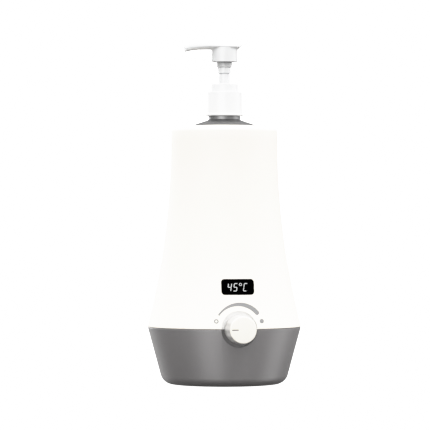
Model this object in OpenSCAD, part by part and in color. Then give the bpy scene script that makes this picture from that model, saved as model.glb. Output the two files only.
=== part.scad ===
// Massage oil warmer: a two-shell heated stand, a lift-out metal bottle and a lotion pump.
// Millimetres. The origin is the centre of the foot ring on the table, +Z is up, the knob faces -Y.

/* [Base shell] */
// Diameter where the base meets the body
seam_d = 138; // [128:1:150]
// Height of the seam above the table
seam_z = 52; // [46:0.5:60]
// Diameter of the base at its foot, before the edge is rounded
base_foot_d = 110; // [106:0.2:116]
// Radius of the rounded bottom edge
base_edge_r = 10.5; // [8:0.5:13]
// Wall of both shells
wall = 2.4; // [2:0.1:2.8]

/* [Body shell] */
// Diameter at the top of the body
body_top_d = 96; // [92:0.5:106]
// Height of the top rim above the table
body_top_z = 230; // [215:0.2:245]
// Height of the straight stretch under the rim
body_straight_h = 8; // [4:0.5:20]
// Radius of the rim's rounded edge
rim_r = 3; // [2.9:0.1:5]
// Slope of the shoulder, in degrees
shoulder_slope = 8; // [6:0.5:14]
// Depth of the lip that locates the body in the base
tongue_h = 4; // [3:0.5:6]
// Thickness of that lip
tongue_t = 1.8; // [1.4:0.1:2.2]

/* [Foot and bottom plate] */
// How far the foot ring stands below the base
foot_h = 0.4; // [0.3:0.1:2]
// Outer diameter of the foot ring
foot_d = 72; // [64:1:74]
// Width of the foot ring
foot_w = 5; // [3:0.5:7]
// Depth of the groove that holds the foot ring
foot_groove = 0.8; // [0.5:0.1:1.2]
// Thickness of the bottom plate
plate_t = 2.5; // [2:0.1:3]
// How far the plate sits up inside the base
plate_recess = 0.5; // [0.3:0.1:1]
// Thickness of the ledge the plate is screwed to
ledge_t = 2.5; // [2:0.1:4]
// Gap between the foot ring and the heads of the plate screws
plate_screw_gap = 1.4; // [0.6:0.1:3]
// Width of the plate outside the screw heads
plate_edge = 1.4; // [1:0.1:3]
// Height of the ring that carries the heating cup
stand_h = 18; // [14:0.5:24]

/* [Bottle] */
// Outer diameter of the bottle
bottle_d = 56; // [50:0.5:58]
// Wall of the bottle
bottle_wall = 0.9; // [0.7:0.1:1.4]
// Radius of the rounded edges of the bottle
bottle_edge_r = 2; // [1.5:0.1:3]
// Slope of the bottle's shoulder, in degrees
bottle_slope = 18.5; // [12:0.5:22]
// Diameter of the neck below the collar
neck_d = 28.8; // [28.4:0.1:31]
// Height of the bare neck below the collar
neck_show_h = 3.9; // [2:0.02:6]
// Diameter over the neck's thread
thread_d = 27.6; // [27:0.1:28]
// Inside diameter of the mouth
mouth_d = 22.4; // [21:0.1:23.4]
// Gap round the bottle in the body's throat
throat_gap = 0.6; // [0.4:0.1:1]

/* [Heater] */
// Wall of the heating cup
cup_wall = 1.2; // [0.8:0.1:1.6]
// Gap between bottle and cup
cup_gap = 0.4; // [0.2:0.05:0.6]
// Thickness of the pad under the bottle
pad_t = 2; // [1:0.1:3]
// Length of the throat tube below the top of the shoulder
throat_h = 28; // [20:1:40]
// Thickness of the seal between cup and throat
seal_t = 1.5; // [1:0.1:2.5]
// Width of the flange at the top of the cup
cup_flange_w = 3.4; // [3:0.1:5]
// Thickness of the heater band
heater_t = 1.5; // [1:0.1:2]
// Height of the heater band
heater_h = 100; // [60:1:130]
// Height of the heater above the bottom of the cup
heater_z = 18; // [16:0.5:26]
// Thickness of the foam sleeve
foam_t = 4; // [2:0.1:5]

/* [Pump] */
// Outer diameter of the screw collar
collar_d = 32.2; // [31.6:0.1:35]
// Height of the screw collar
collar_h = 21.2; // [19:0.1:26]
// Width of the lip at the foot of the collar
collar_lip = 1.1; // [0.5:0.1:1.5]
// Diameter of the chaplet above the collar
chaplet_d = 25; // [23.6:0.1:25.6]
// Height of the chaplet above the collar
chaplet_h = 7.3; // [6:0.1:10]
// Diameter of the stem
stem_d = 10.4; // [9.6:0.1:10.8]
// Bare length of the stem at rest
stem_show = 9; // [8:0.1:14]
// Diameter of the stem's shoulder
stem_shoulder_d = 12; // [11.4:0.1:12.6]
// Height of the stem's shoulder
stem_shoulder_h = 5.9; // [5:0.1:7]
// Diameter of the lock plug under the head
plug_d = 14.4; // [13.8:0.1:15]
// Height of the lock plug
plug_h = 4.8; // [4:0.1:6]
// Diameter of the head's drum at its top
head_d = 24.4; // [23.4:0.1:25.4]
// Height of the head's drum
head_h = 11.5; // [10.5:0.1:14]
// Reach of the spout from the pump's axis
spout_reach = 36.5; // [33:0.5:44]
// Width of the spout at its tip
spout_tip_w = 8; // [7:0.1:11]
// Bore at the spout's tip
spout_bore = 2.8; // [2.2:0.1:3.2]
// Gap left under the head at the bottom of the stroke
stroke_margin = 1.7; // [1:0.1:3]
// Outer diameter of the pump chamber
chamber_d = 17.2; // [16.8:0.1:18.4]
// Wall of the pump chamber
chamber_wall = 1.2; // [1:0.05:1.3]
// Outer diameter of the dip tube
dip_d = 6.4; // [5.6:0.1:7]
// Wall of the dip tube
dip_wall = 0.9; // [0.7:0.05:1.1]
// Gap between the dip tube and the floor of the bottle
dip_gap = 4; // [2:0.5:10]
// Diameter of the return spring's wire
spring_wire = 0.9; // [0.7:0.05:1]
// Turns of the return spring
spring_turns = 8; // [6:1:9]

/* [Knob] */
// Diameter of the knob at its foot
knob_foot_d = 25.4; // [24:0.1:28.6]
// Diameter of the knob's face
knob_face_d = 24.1; // [22:0.1:25]
// Length of the knob
knob_l = 20.4; // [16:0.1:24]
// Number of finger flutes
knob_flutes = 12; // [8:1:16]
// Depth of the finger flutes
flute_depth = 0.35; // [0.2:0.05:0.6]
// Diameter of the dish the knob sits in
dish_d = 32; // [30.6:0.2:36]
// Least depth of that dish
dish_lip = 1.6; // [1:0.1:2.4]
// Diameter of the control's shaft
shaft_d = 6; // [5:0.1:6.2]

/* [Display] */
// Width of the display window
display_w = 29.5; // [24:0.5:34]
// Height of the display window
display_h = 14; // [11:0.5:18]
// Corner radius of the window
display_corner = 3; // [1:0.1:4.5]
// Height of the window's centre above the table
display_z = 88.9; // [86:0.5:100]
// Thickness of the window
lens_t = 2.2; // [1.6:0.1:2.2]

/* [Cord gland] */
// Bore of the gland
gland_bore = 6.6; // [5:0.1:8]
// Height of the gland above the table
gland_z = 22; // [19:0.5:30]
// Outer diameter of the gland's flange
gland_d = 13; // [12:0.1:15]

/* [Hidden] */
$fn = 96;
// Clearances: a turning or sliding fit, a part set in a seat, and free room round a moving part
run_fit = 0.05;
seat_fit = 0.12;
free_gap = 0.3;
// Cutters run past the faces they cut by this much
past = 1;
// Steps along a rounded edge
arc_steps = 10;

// Base shell
seam_r = seam_d / 2;
base_foot_r = base_foot_d / 2;
base_z = foot_h;
base_lean = atan((seam_r - base_foot_r) / (seam_z - base_z));
base_arc = [base_foot_r - base_edge_r / tan((90 + base_lean) / 2), base_z + base_edge_r];
wall_across = wall / cos(base_lean);
// Outer radius of the base's straight side at a height
function base_r(z) = base_foot_r + (z - base_z) * tan(base_lean);

// Bottom plate and foot
foot_r = foot_d / 2;
screw_r = 1.25;
screw_head_r = 2.6;
screw_head_h = 1.5;
screw_slot = 0.6;
screw_l = 4.2;
ledge_w = 4;
plate_screw_r = foot_r + plate_screw_gap + screw_head_r;
plate_r = plate_screw_r + screw_head_r + plate_edge;
plate_z = base_z + plate_recess;
plate_top = plate_z + plate_t;
floor_z = plate_top + ledge_t;
ledge_r = plate_screw_r - ledge_w;
vent_r = 13;
vent_w = 3;
vent_turn = 34;
vents = 6;

// Body shell: an arc that is upright at the top and meets the base's rim at the seam
top_r = body_top_d / 2;
flare_z = body_top_z - rim_r - body_straight_h;
flare_drop = flare_z - seam_z;
flare_out = seam_r - top_r;
flare_arc = (flare_drop * flare_drop + flare_out * flare_out) / (2 * flare_out);
// Outer radius of the flared wall at a height
function body_r(z) = top_r + flare_arc - sqrt(flare_arc * flare_arc - (flare_z - z) * (flare_z - z));
bottle_r = bottle_d / 2;
throat_r = bottle_r + throat_gap;
throat_wall = 2.2;
rim_turn = 90 - shoulder_slope;
rim_arc = [top_r - rim_r, body_top_z - rim_r];
// Height of the shoulder over a radius, for a wall inset by t
function shoulder_z(r, t) = rim_arc[1] + (rim_r - t) / cos(shoulder_slope)
    + (rim_arc[0] - r) * tan(shoulder_slope);
throat_z = shoulder_z(throat_r, 0);
throat_end_z = throat_z - throat_h;
tongue_r = base_r(seam_z - tongue_h) - wall_across - seat_fit;
tongue_root_h = 2;

// Heating cup, standing on the bottom plate's ring
cup_r = bottle_r + cup_gap;
cup_out_r = cup_r + cup_wall;
cup_z = plate_top + stand_h;
cup_flange_r = cup_out_r + cup_flange_w;
cup_top_z = throat_end_z - seal_t;
stand_r = cup_r - 2;
stand_wall = 2;
pad_hole_r = 6;
heater_in_r = cup_out_r + run_fit;
heater_out_r = heater_in_r + heater_t;
heater_foot_z = cup_z + heater_z;
heater_turn = 346;
foam_in_r = heater_out_r + seat_fit;
foam_out_r = foam_in_r + foam_t;
foam_foot_z = heater_foot_z;
foam_top_z = heater_foot_z + heater_h + 10;
sensor_r = 1.5;
sensor_l = 9;
cutoff_r = 1.8;
cutoff_l = 10;
probe_turn = 30;
probe_reach = cup_out_r + sensor_r + run_fit;
cutoff_reach = cup_out_r + cutoff_r + run_fit;
probe_foot_z = cup_z + 3;

// Bottle
bottle_z = cup_z + cup_wall + pad_t;
neck_r = neck_d / 2;
neck_root = 0.4;
neck_root_r = neck_r + neck_root;
bottle_stand = 0.8;
bottle_edge_z = throat_z + bottle_stand;
neck_z = bottle_edge_z + (bottle_r - neck_root_r) * tan(bottle_slope);
thread_r = thread_d / 2;
mouth_r = mouth_d / 2;

// Pump, stacked up from the neck
collar_z = neck_z + neck_show_h;
collar_r = collar_d / 2;
collar_top_z = collar_z + collar_h;
collar_top_t = 1.8;
collar_bore_r = thread_r + 0.3;
collar_lip_h = 1.4;
stack_gap = 0.1;
chaplet_flange_t = 1.1;
chamber_flange_t = 1.2;
gasket_t = 1.2;
flange_r = collar_bore_r - free_gap;
chaplet_flange_z = collar_top_z - collar_top_t - stack_gap - chaplet_flange_t;
chamber_flange_z = chaplet_flange_z - chamber_flange_t;
neck_top_z = chamber_flange_z - gasket_t;
chaplet_r = chaplet_d / 2;
chaplet_top_z = collar_top_z + chaplet_h;
chaplet_edge_r = 0.9;
stem_r = stem_d / 2;
guide_r = stem_r + run_fit;
stem_shoulder_r = stem_shoulder_d / 2;
stem_shoulder_z = chaplet_top_z + stem_show;
plug_z = stem_shoulder_z + stem_shoulder_h;
plug_r = plug_d / 2;
plug_foot_r = plug_r - 0.4;
plug_well_r = plug_r + 2 * free_gap;
head_z = plug_z + plug_h;
stroke = head_z - chaplet_top_z - stroke_margin;
plug_well_z = stem_shoulder_z - stroke - free_gap;
chamber_r = chamber_d / 2;
chamber_in_r = chamber_r - chamber_wall;
guide_l = 9;
guide_end_z = plug_well_z - guide_l;
piston_r = chamber_in_r - run_fit;
piston_h = 11;
piston_lip = 2;
piston_waist = 1;
piston_socket = 4;
piston_top_z = guide_end_z - free_gap;
piston_z = piston_top_z - piston_h;
spring_rest_l = stroke + spring_wire * (spring_turns + 2) + 6;
chamber_floor_z = piston_z - spring_rest_l;
spring_r = chamber_in_r - spring_wire - 0.8;
ball_r = 2.2;
ball_seat_r = 1.6;
ball_well_r = 2.9;
ball_well_h = 5;
seat_web_h = 3;
dip_r = dip_d / 2;
dip_socket_r = dip_r + run_fit;
dip_socket_l = 8;
socket_r = dip_socket_r + 1.5;
seat_z = chamber_floor_z - ball_well_h;
dip_top_z = seat_z - seat_web_h;
dip_z = bottle_z + bottle_wall + dip_gap;

// Head and spout, in heights above the underside of the drum
head_r = head_d / 2;
head_foot_r = head_r - 0.2;
stem_pin_r = stem_r - 0.4;
head_socket_h = 8.5;
head_skirt_t = 1.5;
head_skirt_well = 9;
deck_h = 16;
deck_overhang = 4.4;
deck_half_w = head_r + 0.5;
deck_turn = 100;
back_h = 1.4;
spout_top_h = 18.6;
spout_tip_h = 14.3;
spout_foot_h = 9.9;
spout_nose = 1.2;
spout_bend_x = spout_reach - 5;
spout_rise_x = head_r + 4.6;
spout_root_w = 18;
spout_bore_z = 13.8;
spout_exit_h = (spout_tip_h + spout_foot_h) / 2;
spout_turn_x = spout_reach - 10;
spout_dip = atan((spout_bore_z - spout_exit_h) / (spout_reach - spout_turn_x));
spout_lap = 0.6;
channel_r = spout_bore / 2 - 0.2;
duct_r = 1.8;
curve_steps = 12;

// Knob, along -Y at the seam
knob_z = seam_z;
dish_r = dish_d / 2;
dish_floor = base_r(seam_z - dish_r) - dish_lip;
knob_foot = dish_floor + 0.5;
knob_foot_r = knob_foot_d / 2;
knob_face_r = knob_face_d / 2;
knob_edge = 0.8;
knob_lean = atan((knob_foot_r - knob_face_r) / knob_l);
knob_well_r = 8;
knob_well_l = 3.4;
shaft_r = shaft_d / 2;
shaft_socket_l = 12;
bushing_r = shaft_r + 0.6;
bushing_l = 5.6;
control_r = 8.2;
control_l = 8.5;
control_end = 2;
control_y = dish_floor - wall;
nut_r = 5.8;
nut_t = 2;
pointer_in = 4.2;
pointer_out = 10.2;
pointer_w = 1;
pointer_t = 0.6;
flute_r = 9;
flute_foot = 1.2;
flute_end = 2.2;

// Display and control board, behind the front wall
module_w = display_w - 4;
module_h = display_h - 2;
module_l = 8;
module_y = sqrt(pow(body_r(display_z + module_h / 2) - wall, 2) - pow(module_w / 2, 2)) - free_gap;
board_y = module_y - module_l;
board_t = 1.6;
board_w = 44;
board_h = 44;
display_up = 26;
board_z = display_z - display_up;
boss_r = 3;
boss_x = board_w / 2 - boss_r - 0.5;
boss_z = [board_z + boss_r + 0.5, board_z + board_h - boss_r - 0.5];
board_screw_r = 1.1;
board_screw_head_r = 2.2;
board_screw_head_h = 1.4;
board_screw_l = 4.6;
relay = [15, 9, 12];
relay_z = board_z + 4;
// Middle of the board's bottom edge, in [y, z], where every lead arrives
board_foot = [board_t / 2 - board_y, board_z];

// Cord gland, in the back of the base
gland_r = gland_d / 2;
gland_bore_r = gland_bore / 2;
gland_pad_r = gland_r + 1;
gland_pad_y = base_r(gland_z + gland_pad_r) + 0.4;
gland_waist_r = gland_bore_r + 1.6;
gland_flange_t = 2;
gland_in_y = base_r(gland_z) - wall_across - 2;

// Leads inside the housing, each in an upright plane from the heater or the control to the board
lead_r = 0.75;
lead_sides = 8;
lead_steps = 12;
lead_stub = 2 * lead_r;
heater_lead_x = 6;
control_lead_pitch = 2.6;
lead_slack = 26;

// Points along an arc about c, from angle a to angle b
function arc(c, r, a, b) = [
    for (i = [0 : arc_steps]) c + r * [cos(a + (b - a) * i / arc_steps), sin(a + (b - a) * i / arc_steps)]
];

// Points along a cubic curve with end points a and d and handles b and c
function curve(a, b, c, d, steps) = [
    for (i = [0 : steps])
        let (t = i / steps, s = 1 - t)
        s * s * s * a + 3 * s * s * t * b + 3 * s * t * t * c + t * t * t * d
];

// Triangles of a closed tube whose points are rings of the same number of sides
function tube_faces(sides, last) = concat(
    [
        for (i = [0 : last - 1], j = [0 : sides - 1])
            let (a = i * sides + j, b = i * sides + (j + 1) % sides)
            each [[a, b, b + sides], [a, b + sides, a + sides]]
    ],
    [
        for (j = [1 : sides - 2])
            each [[0, j + 1, j], [last * sides, last * sides + j, last * sides + j + 1]]
    ]
);

// Turns a shape that stands on +Z so that it points to the front, at the knob's height
module facing_front() {
    translate([0, 0, knob_z]) rotate([90, 0, 0]) children();
}

// A ring between two radii
module ring(r_in, r_out, h) {
    difference() {
        cylinder(r = r_out, h = h);
        translate([0, 0, -past]) cylinder(r = r_in, h = h + 2 * past);
    }
}

// A rectangle with round corners, centred
module rounded_rectangle(w, h, r) {
    square([w - 2 * r, h], center = true);
    square([w, h - 2 * r], center = true);
    for (x = [-1, 1], y = [-1, 1])
        translate([x * (w / 2 - r), y * (h / 2 - r)]) circle(r = r);
}

// A wire in the upright plane at x. It leaves one [y, z] point along a handle and arrives at another.
module lead(x, from, leave, to, arrive) {
    path = concat(
        [from],
        curve(from + lead_stub * leave / norm(leave), from + leave, to + arrive,
            to + lead_stub * arrive / norm(arrive), lead_steps),
        [to]
    );
    last = len(path) - 1;
    points = [
        for (i = [0 : last], j = [0 : lead_sides - 1])
            let (
                run = path[min(i + 1, last)] - path[max(i - 1, 0)],
                across = [-run[1], run[0]] / norm(run),
                turn = -360 * j / lead_sides,
                spot = path[i] + lead_r * sin(turn) * across
            )
            [x + lead_r * cos(turn), spot[0], spot[1]]
    ];
    polyhedron(points, tube_faces(lead_sides, last), convexity = 6);
}

// Half-section of the base, filled to the axis, with its outside inset by t
module base_outline(t) {
    polygon(concat(
        [[0, base_z + t]],
        arc(base_arc, base_edge_r - t, -90, -base_lean),
        [[seam_r - t / cos(base_lean), seam_z], [0, seam_z]]
    ));
}

// Half-section of the body, filled to the axis, with its outside inset by t
module body_outline(t) {
    difference() {
        translate([0, seam_z]) square([seam_r + past, flare_drop]);
        translate([top_r + flare_arc, flare_z]) circle(r = flare_arc + t, $fn = 720);
    }
    polygon(concat(
        [[0, flare_z], [top_r - t, flare_z]],
        arc(rim_arc, max(rim_r - t, 0.1), 0, rim_turn),
        [[throat_r, shoulder_z(throat_r, t)], [0, shoulder_z(throat_r, t)]]
    ));
}

// The block that carries the knob's dish, trimmed to the outside of the shell it is cut from
module dish_block() {
    intersection() {
        children();
        facing_front() translate([0, 0, dish_floor - wall]) cylinder(r = dish_r + wall, h = seam_r);
    }
}

// The space of the knob's dish and of the control's bushing
module dish_cut() {
    facing_front() translate([0, 0, dish_floor]) cylinder(r = dish_r, h = seam_r);
    facing_front() translate([0, 0, dish_floor - wall - past])
        cylinder(r = bushing_r + seat_fit, h = wall + 2 * past);
}

// Places a child at each of the four plate screws
module at_plate_screws() {
    for (a = [45 : 90 : 315]) rotate(a) translate([plate_screw_r, 0, 0]) children();
}

// Places a child at each of the four corners of the control board, looking out to the front
module at_board_screws() {
    for (x = [-boss_x, boss_x], z = boss_z)
        translate([x, -board_y, z]) rotate([90, 0, 0]) children();
}

module foot_ring() {
    color("dimgray") ring(foot_r - foot_w, foot_r, foot_h + plate_recess + foot_groove);
}

module bottom_plate() {
    color("gray") difference() {
        union() {
            translate([0, 0, plate_z]) cylinder(r = plate_r - seat_fit, h = plate_t);
            translate([0, 0, plate_top - past])
                ring(stand_r - stand_wall, stand_r, stand_h + past);
        }
        translate([0, 0, plate_z - past])
            ring(foot_r - foot_w - seat_fit, foot_r + seat_fit, foot_groove + past);
        at_plate_screws() {
            translate([0, 0, plate_z - past]) cylinder(r = screw_r + seat_fit, h = plate_t + 2 * past);
            translate([0, 0, plate_z - past]) cylinder(r = screw_head_r + seat_fit, h = screw_head_h + past);
        }
        for (i = [0 : vents - 1])
            rotate_extrude(angle = vent_turn, start = i * 360 / vents)
                translate([vent_r, plate_z - past]) square([vent_w, plate_t + 2 * past]);
    }
}

module plate_screws() {
    color("silver") at_plate_screws() {
        translate([0, 0, plate_z]) difference() {
            cylinder(r = screw_head_r, h = screw_head_h);
            for (a = [0, 90]) rotate(a) cube([screw_head_r, screw_slot, screw_head_h], center = true);
        }
        translate([0, 0, plate_z + screw_head_h]) cylinder(r = screw_r, h = screw_l - screw_head_h);
    }
}

module base_shell() {
    color([0.48, 0.47, 0.47]) difference() {
        union() {
            rotate_extrude() difference() {
                base_outline(0);
                intersection() {
                    base_outline(wall);
                    translate([0, floor_z]) square([seam_r, seam_z]);
                }
                translate([0, base_z - past]) square([plate_r, plate_recess + plate_t + past]);
                translate([0, base_z - past]) square([ledge_r, floor_z - base_z + 2 * past]);
            }
            dish_block() rotate_extrude() base_outline(0);
            gland_pad();
        }
        dish_cut();
        translate([0, 0, gland_z]) rotate([-90, 0, 0])
            cylinder(r = gland_waist_r + seat_fit, h = seam_r + past);
        at_plate_screws() translate([0, 0, plate_top - past])
            cylinder(r = screw_r + run_fit, h = ledge_t + past + run_fit);
    }
}

// The flat boss that the cord gland sits against
module gland_pad() {
    difference() {
        translate([0, gland_in_y + 2, gland_z]) rotate([-90, 0, 0])
            cylinder(r = gland_pad_r, h = gland_pad_y - gland_in_y - 2);
        rotate_extrude() base_outline(wall);
    }
}

module body_shell() {
    color([0.98, 0.98, 0.96]) difference() {
        union() {
            rotate_extrude() difference() {
                body_outline(0);
                difference() {
                    body_outline(wall);
                    translate([0, throat_end_z]) square([throat_r + throat_wall, throat_h]);
                }
                translate([0, seam_z - past]) square([throat_r, throat_z]);
            }
            difference() {
                tongue();
                facing_front() translate([0, 0, dish_floor - 4 * wall])
                    cylinder(r = dish_r + wall + free_gap, h = seam_r);
            }
            dish_block() rotate_extrude() body_outline(0);
            board_bosses();
        }
        dish_cut();
        translate([0, 0, display_z]) rotate([90, 0, 0]) linear_extrude(seam_r)
            rounded_rectangle(display_w, display_h, display_corner);
        at_board_screws() translate([0, 0, -past])
            cylinder(r = board_screw_r + run_fit, h = board_screw_l + past);
    }
}

// The lip that drops into the base
module tongue() {
    rotate_extrude() {
        translate([tongue_r - tongue_t, seam_z - tongue_h]) square([tongue_t, tongue_h + tongue_root_h]);
        translate([tongue_r - tongue_t, seam_z])
            square([seam_r - wall / 2 - tongue_r + tongue_t, tongue_root_h]);
    }
}

// Four bosses that carry the control board, trimmed to the inside of the wall
module board_bosses() {
    intersection() {
        at_board_screws() cylinder(r = boss_r, h = seam_r);
        rotate_extrude() body_outline(wall / 2);
    }
}

module cord_gland() {
    color([0.16, 0.16, 0.17]) translate([0, 0, gland_z]) rotate([-90, 0, 0]) difference() {
        union() {
            translate([0, 0, gland_in_y]) cylinder(r = gland_waist_r, h = gland_pad_y - gland_in_y + past);
            translate([0, 0, gland_pad_y]) cylinder(r = gland_r, h = gland_flange_t);
        }
        translate([0, 0, gland_in_y - past]) cylinder(r = gland_bore_r, h = seam_r);
    }
}

module heating_cup() {
    color("silver") rotate_extrude() {
        translate([0, cup_z]) square([cup_out_r, cup_wall]);
        translate([cup_r, cup_z]) square([cup_wall, cup_top_z - cup_z]);
        translate([cup_r, cup_top_z - cup_wall]) square([cup_flange_r - cup_r, cup_wall]);
    }
}

module cup_seal() {
    color("firebrick") translate([0, 0, cup_top_z])
        ring(throat_r, throat_r + throat_wall, seal_t);
}

module bottle_pad() {
    color("dimgray") translate([0, 0, cup_z + cup_wall]) ring(pad_hole_r, cup_r - seat_fit, pad_t);
}

module heater_band() {
    color("chocolate") rotate_extrude(angle = heater_turn, start = 90 + (360 - heater_turn) / 2)
        translate([heater_in_r, heater_foot_z]) square([heater_t, heater_h]);
}

module foam_sleeve() {
    color("lightgray") translate([0, 0, foam_foot_z]) ring(foam_in_r, foam_out_r, foam_top_z - foam_foot_z);
}

module temperature_probe() {
    color("black") rotate(-90 - probe_turn) translate([probe_reach, 0, probe_foot_z])
        cylinder(r = sensor_r, h = sensor_l);
}

module thermal_cutoff() {
    color("ivory") rotate(-90 + probe_turn) translate([cutoff_reach, 0, probe_foot_z])
        cylinder(r = cutoff_r, h = cutoff_l);
}

// Two wires from the foot of the heater to the foot of the board
module heater_leads() {
    color("tomato") for (x = [-heater_lead_x, heater_lead_x])
        lead(x,
            [-sqrt(pow(heater_in_r + heater_t / 2, 2) - x * x), heater_foot_z], [0, -lead_slack],
            board_foot, [0, -lead_slack]);
}

// A wire from the foot of a probe, at a reach and turn from the axis, to the foot of the board
module board_lead(reach, turn) {
    lead(reach * sin(turn),
        [-reach * cos(turn), probe_foot_z], [0, -lead_slack / 2],
        board_foot, [0, -lead_slack]);
}

module probe_lead() {
    color("dimgray") board_lead(probe_reach, -probe_turn);
}

module cutoff_lead() {
    color("khaki") board_lead(cutoff_reach, probe_turn);
}

// Three wires from the back of the control to the foot of the board
module control_leads() {
    color("gold") for (i = [-1 : 1])
        lead(i * control_lead_pitch,
            [control_l - control_y, knob_z], [lead_slack / 4, 0],
            board_foot, [0, -lead_slack / 4]);
}

module control_board() {
    color("darkgreen") difference() {
        translate([-board_w / 2, -board_y, board_z]) cube([board_w, board_t, board_h]);
        at_board_screws() translate([0, 0, -board_t - past])
            cylinder(r = board_screw_r + run_fit, h = board_t + 2 * past);
    }
}

// The relay stands on the front of the board, under the display
module board_relay() {
    color("royalblue") translate([-relay[0] / 2, -board_y - relay[1], relay_z]) cube(relay);
}

module board_screws() {
    color("silver") at_board_screws() {
        translate([0, 0, -board_t]) cylinder(r = board_screw_r, h = board_screw_l);
        translate([0, 0, -board_t - board_screw_head_h])
            cylinder(r = board_screw_head_r, h = board_screw_head_h);
    }
}

module display_module() {
    color("black") translate([-module_w / 2, -module_y, display_z - module_h / 2])
        cube([module_w, module_l, module_h]);
}

module display_lens() {
    color([0.02, 0.02, 0.02]) intersection() {
        rotate_extrude() difference() {
            body_outline(0);
            body_outline(lens_t);
        }
        translate([0, 0, display_z]) rotate([90, 0, 0]) linear_extrude(seam_r)
            rounded_rectangle(display_w - 2 * seat_fit, display_h - 2 * seat_fit, display_corner - seat_fit);
    }
}

module control_body() {
    color("slategray") facing_front() difference() {
        union() {
            translate([0, 0, control_y - control_l]) cylinder(r = control_r, h = control_l - seat_fit);
            translate([0, 0, control_y - past]) cylinder(r = bushing_r, h = bushing_l + past);
        }
        translate([0, 0, control_y - control_l + control_end])
            cylinder(r = shaft_r + run_fit, h = control_l + bushing_l);
    }
}

module control_nut() {
    color("silver") facing_front() translate([0, 0, dish_floor]) difference() {
        cylinder(r = nut_r, h = nut_t, $fn = 6);
        translate([0, 0, -past]) cylinder(r = bushing_r + run_fit, h = nut_t + 2 * past);
    }
}

module control_shaft() {
    foot = control_y - control_l + control_end + run_fit;
    color("silver") facing_front() translate([0, 0, foot])
        cylinder(r = shaft_r, h = knob_foot + shaft_socket_l - foot - run_fit);
}

module knob() {
    color([0.97, 0.97, 0.95]) facing_front() translate([0, 0, knob_foot]) difference() {
        rotate_extrude() polygon(concat(
            [[0, 0], [knob_foot_r, 0]],
            arc([knob_face_r - knob_edge, knob_l - knob_edge], knob_edge, knob_lean, 90),
            [[0, knob_l]]
        ));
        for (i = [0 : knob_flutes - 1]) rotate((i + 0.5) * 360 / knob_flutes) finger_flute();
        translate([0, 0, -past]) cylinder(r = knob_well_r, h = knob_well_l + past);
        translate([0, 0, -past]) cylinder(r = shaft_r + run_fit, h = shaft_socket_l + past);
        translate([-pointer_out, -pointer_w / 2, knob_l - pointer_t])
            cube([pointer_out - pointer_in, pointer_w, pointer_t + past]);
    }
}

// One shallow flute along the knob's sloping side
module finger_flute() {
    translate([knob_foot_r, 0, 0]) rotate([0, -knob_lean, 0])
        translate([flute_r - flute_depth, 0, flute_foot])
            cylinder(r = flute_r, h = knob_l - flute_foot - flute_end);
}

module knob_pointer() {
    color("gray") facing_front() translate([0, 0, knob_foot + knob_l - pointer_t])
        translate([-pointer_out + run_fit, -pointer_w / 2 + run_fit, 0])
            cube([pointer_out - pointer_in - 2 * run_fit, pointer_w - 2 * run_fit, pointer_t]);
}

module bottle() {
    color("darkgray") rotate_extrude() difference() {
        bottle_outline(0);
        bottle_outline(bottle_wall);
        translate([0, neck_z - bottle_wall * 2]) square([mouth_r, neck_top_z]);
    }
}

// Half-section of the bottle, filled to the axis, with its walls inset by t and its neck left solid
module bottle_outline(t) {
    foot = [bottle_r - bottle_edge_r, bottle_z + bottle_edge_r];
    edge = [bottle_r - bottle_edge_r, bottle_edge_z - bottle_edge_r];
    root_r = t > 0 ? mouth_r : neck_root_r;
    neck = t > 0 ? [] : [
        [neck_r, neck_z + neck_root], [neck_r, collar_z - free_gap], [thread_r - 1, collar_z + 0.6],
        [thread_r - 1, neck_top_z - 2], [thread_r - 1, neck_top_z], [0, neck_top_z]
    ];
    drop = t / cos(bottle_slope);
    polygon(concat(
        [[0, bottle_z + t]],
        arc(foot, bottle_edge_r - t, -90, 0),
        arc(edge, bottle_edge_r - t, 0, 90 - bottle_slope),
        [[root_r, neck_z - drop + (neck_root_r - root_r) * tan(bottle_slope)]],
        neck,
        t > 0 ? [[0, neck_z - drop + (neck_root_r - root_r) * tan(bottle_slope)]] : []
    ));
}

module neck_gasket() {
    color("white") translate([0, 0, neck_top_z]) ring(chamber_r + free_gap, flange_r, gasket_t);
}

module pump_chamber() {
    color("whitesmoke") rotate_extrude() difference() {
        union() {
            translate([0, chamber_flange_z]) square([flange_r, chamber_flange_t]);
            translate([0, chamber_floor_z - chamber_wall])
                square([chamber_r, chamber_flange_z - chamber_floor_z + 2 * chamber_wall]);
            translate([0, dip_top_z - dip_socket_l])
                square([socket_r, chamber_floor_z - dip_top_z + dip_socket_l]);
        }
        translate([0, chamber_floor_z]) square([chamber_in_r, chaplet_flange_z]);
        translate([0, seat_z]) square([ball_well_r, chamber_floor_z]);
        translate([0, dip_top_z - past]) square([ball_seat_r, chamber_floor_z]);
        translate([0, dip_top_z - dip_socket_l - past]) square([dip_socket_r, dip_socket_l + past]);
    }
}

module chaplet() {
    color("white") rotate_extrude() difference() {
        union() {
            translate([0, chaplet_flange_z]) square([flange_r, chaplet_flange_t]);
            polygon(concat(
                [[0, chaplet_flange_z], [chaplet_r, chaplet_flange_z]],
                arc([chaplet_r - chaplet_edge_r, chaplet_top_z - chaplet_edge_r], chaplet_edge_r, 0, 90),
                [[0, chaplet_top_z]]
            ));
            translate([0, guide_end_z])
                square([chamber_in_r - run_fit, chaplet_flange_z - guide_end_z + past]);
        }
        translate([0, guide_end_z - past]) square([guide_r, chaplet_top_z]);
        translate([0, plug_well_z]) square([plug_well_r, chaplet_top_z]);
    }
}

module dip_tube() {
    color("whitesmoke") difference() {
        translate([0, 0, dip_z]) ring(dip_r - dip_wall, dip_r, dip_top_z - run_fit - dip_z);
        translate([0, 0, dip_z]) rotate([0, 30, 0]) translate([0, 0, -2 * dip_d])
            cube(4 * dip_d, center = true);
    }
}

module check_ball() {
    color("silver") translate([0, 0, seat_z + sqrt(ball_r * ball_r - ball_seat_r * ball_seat_r) + run_fit])
        sphere(r = ball_r);
}

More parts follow.
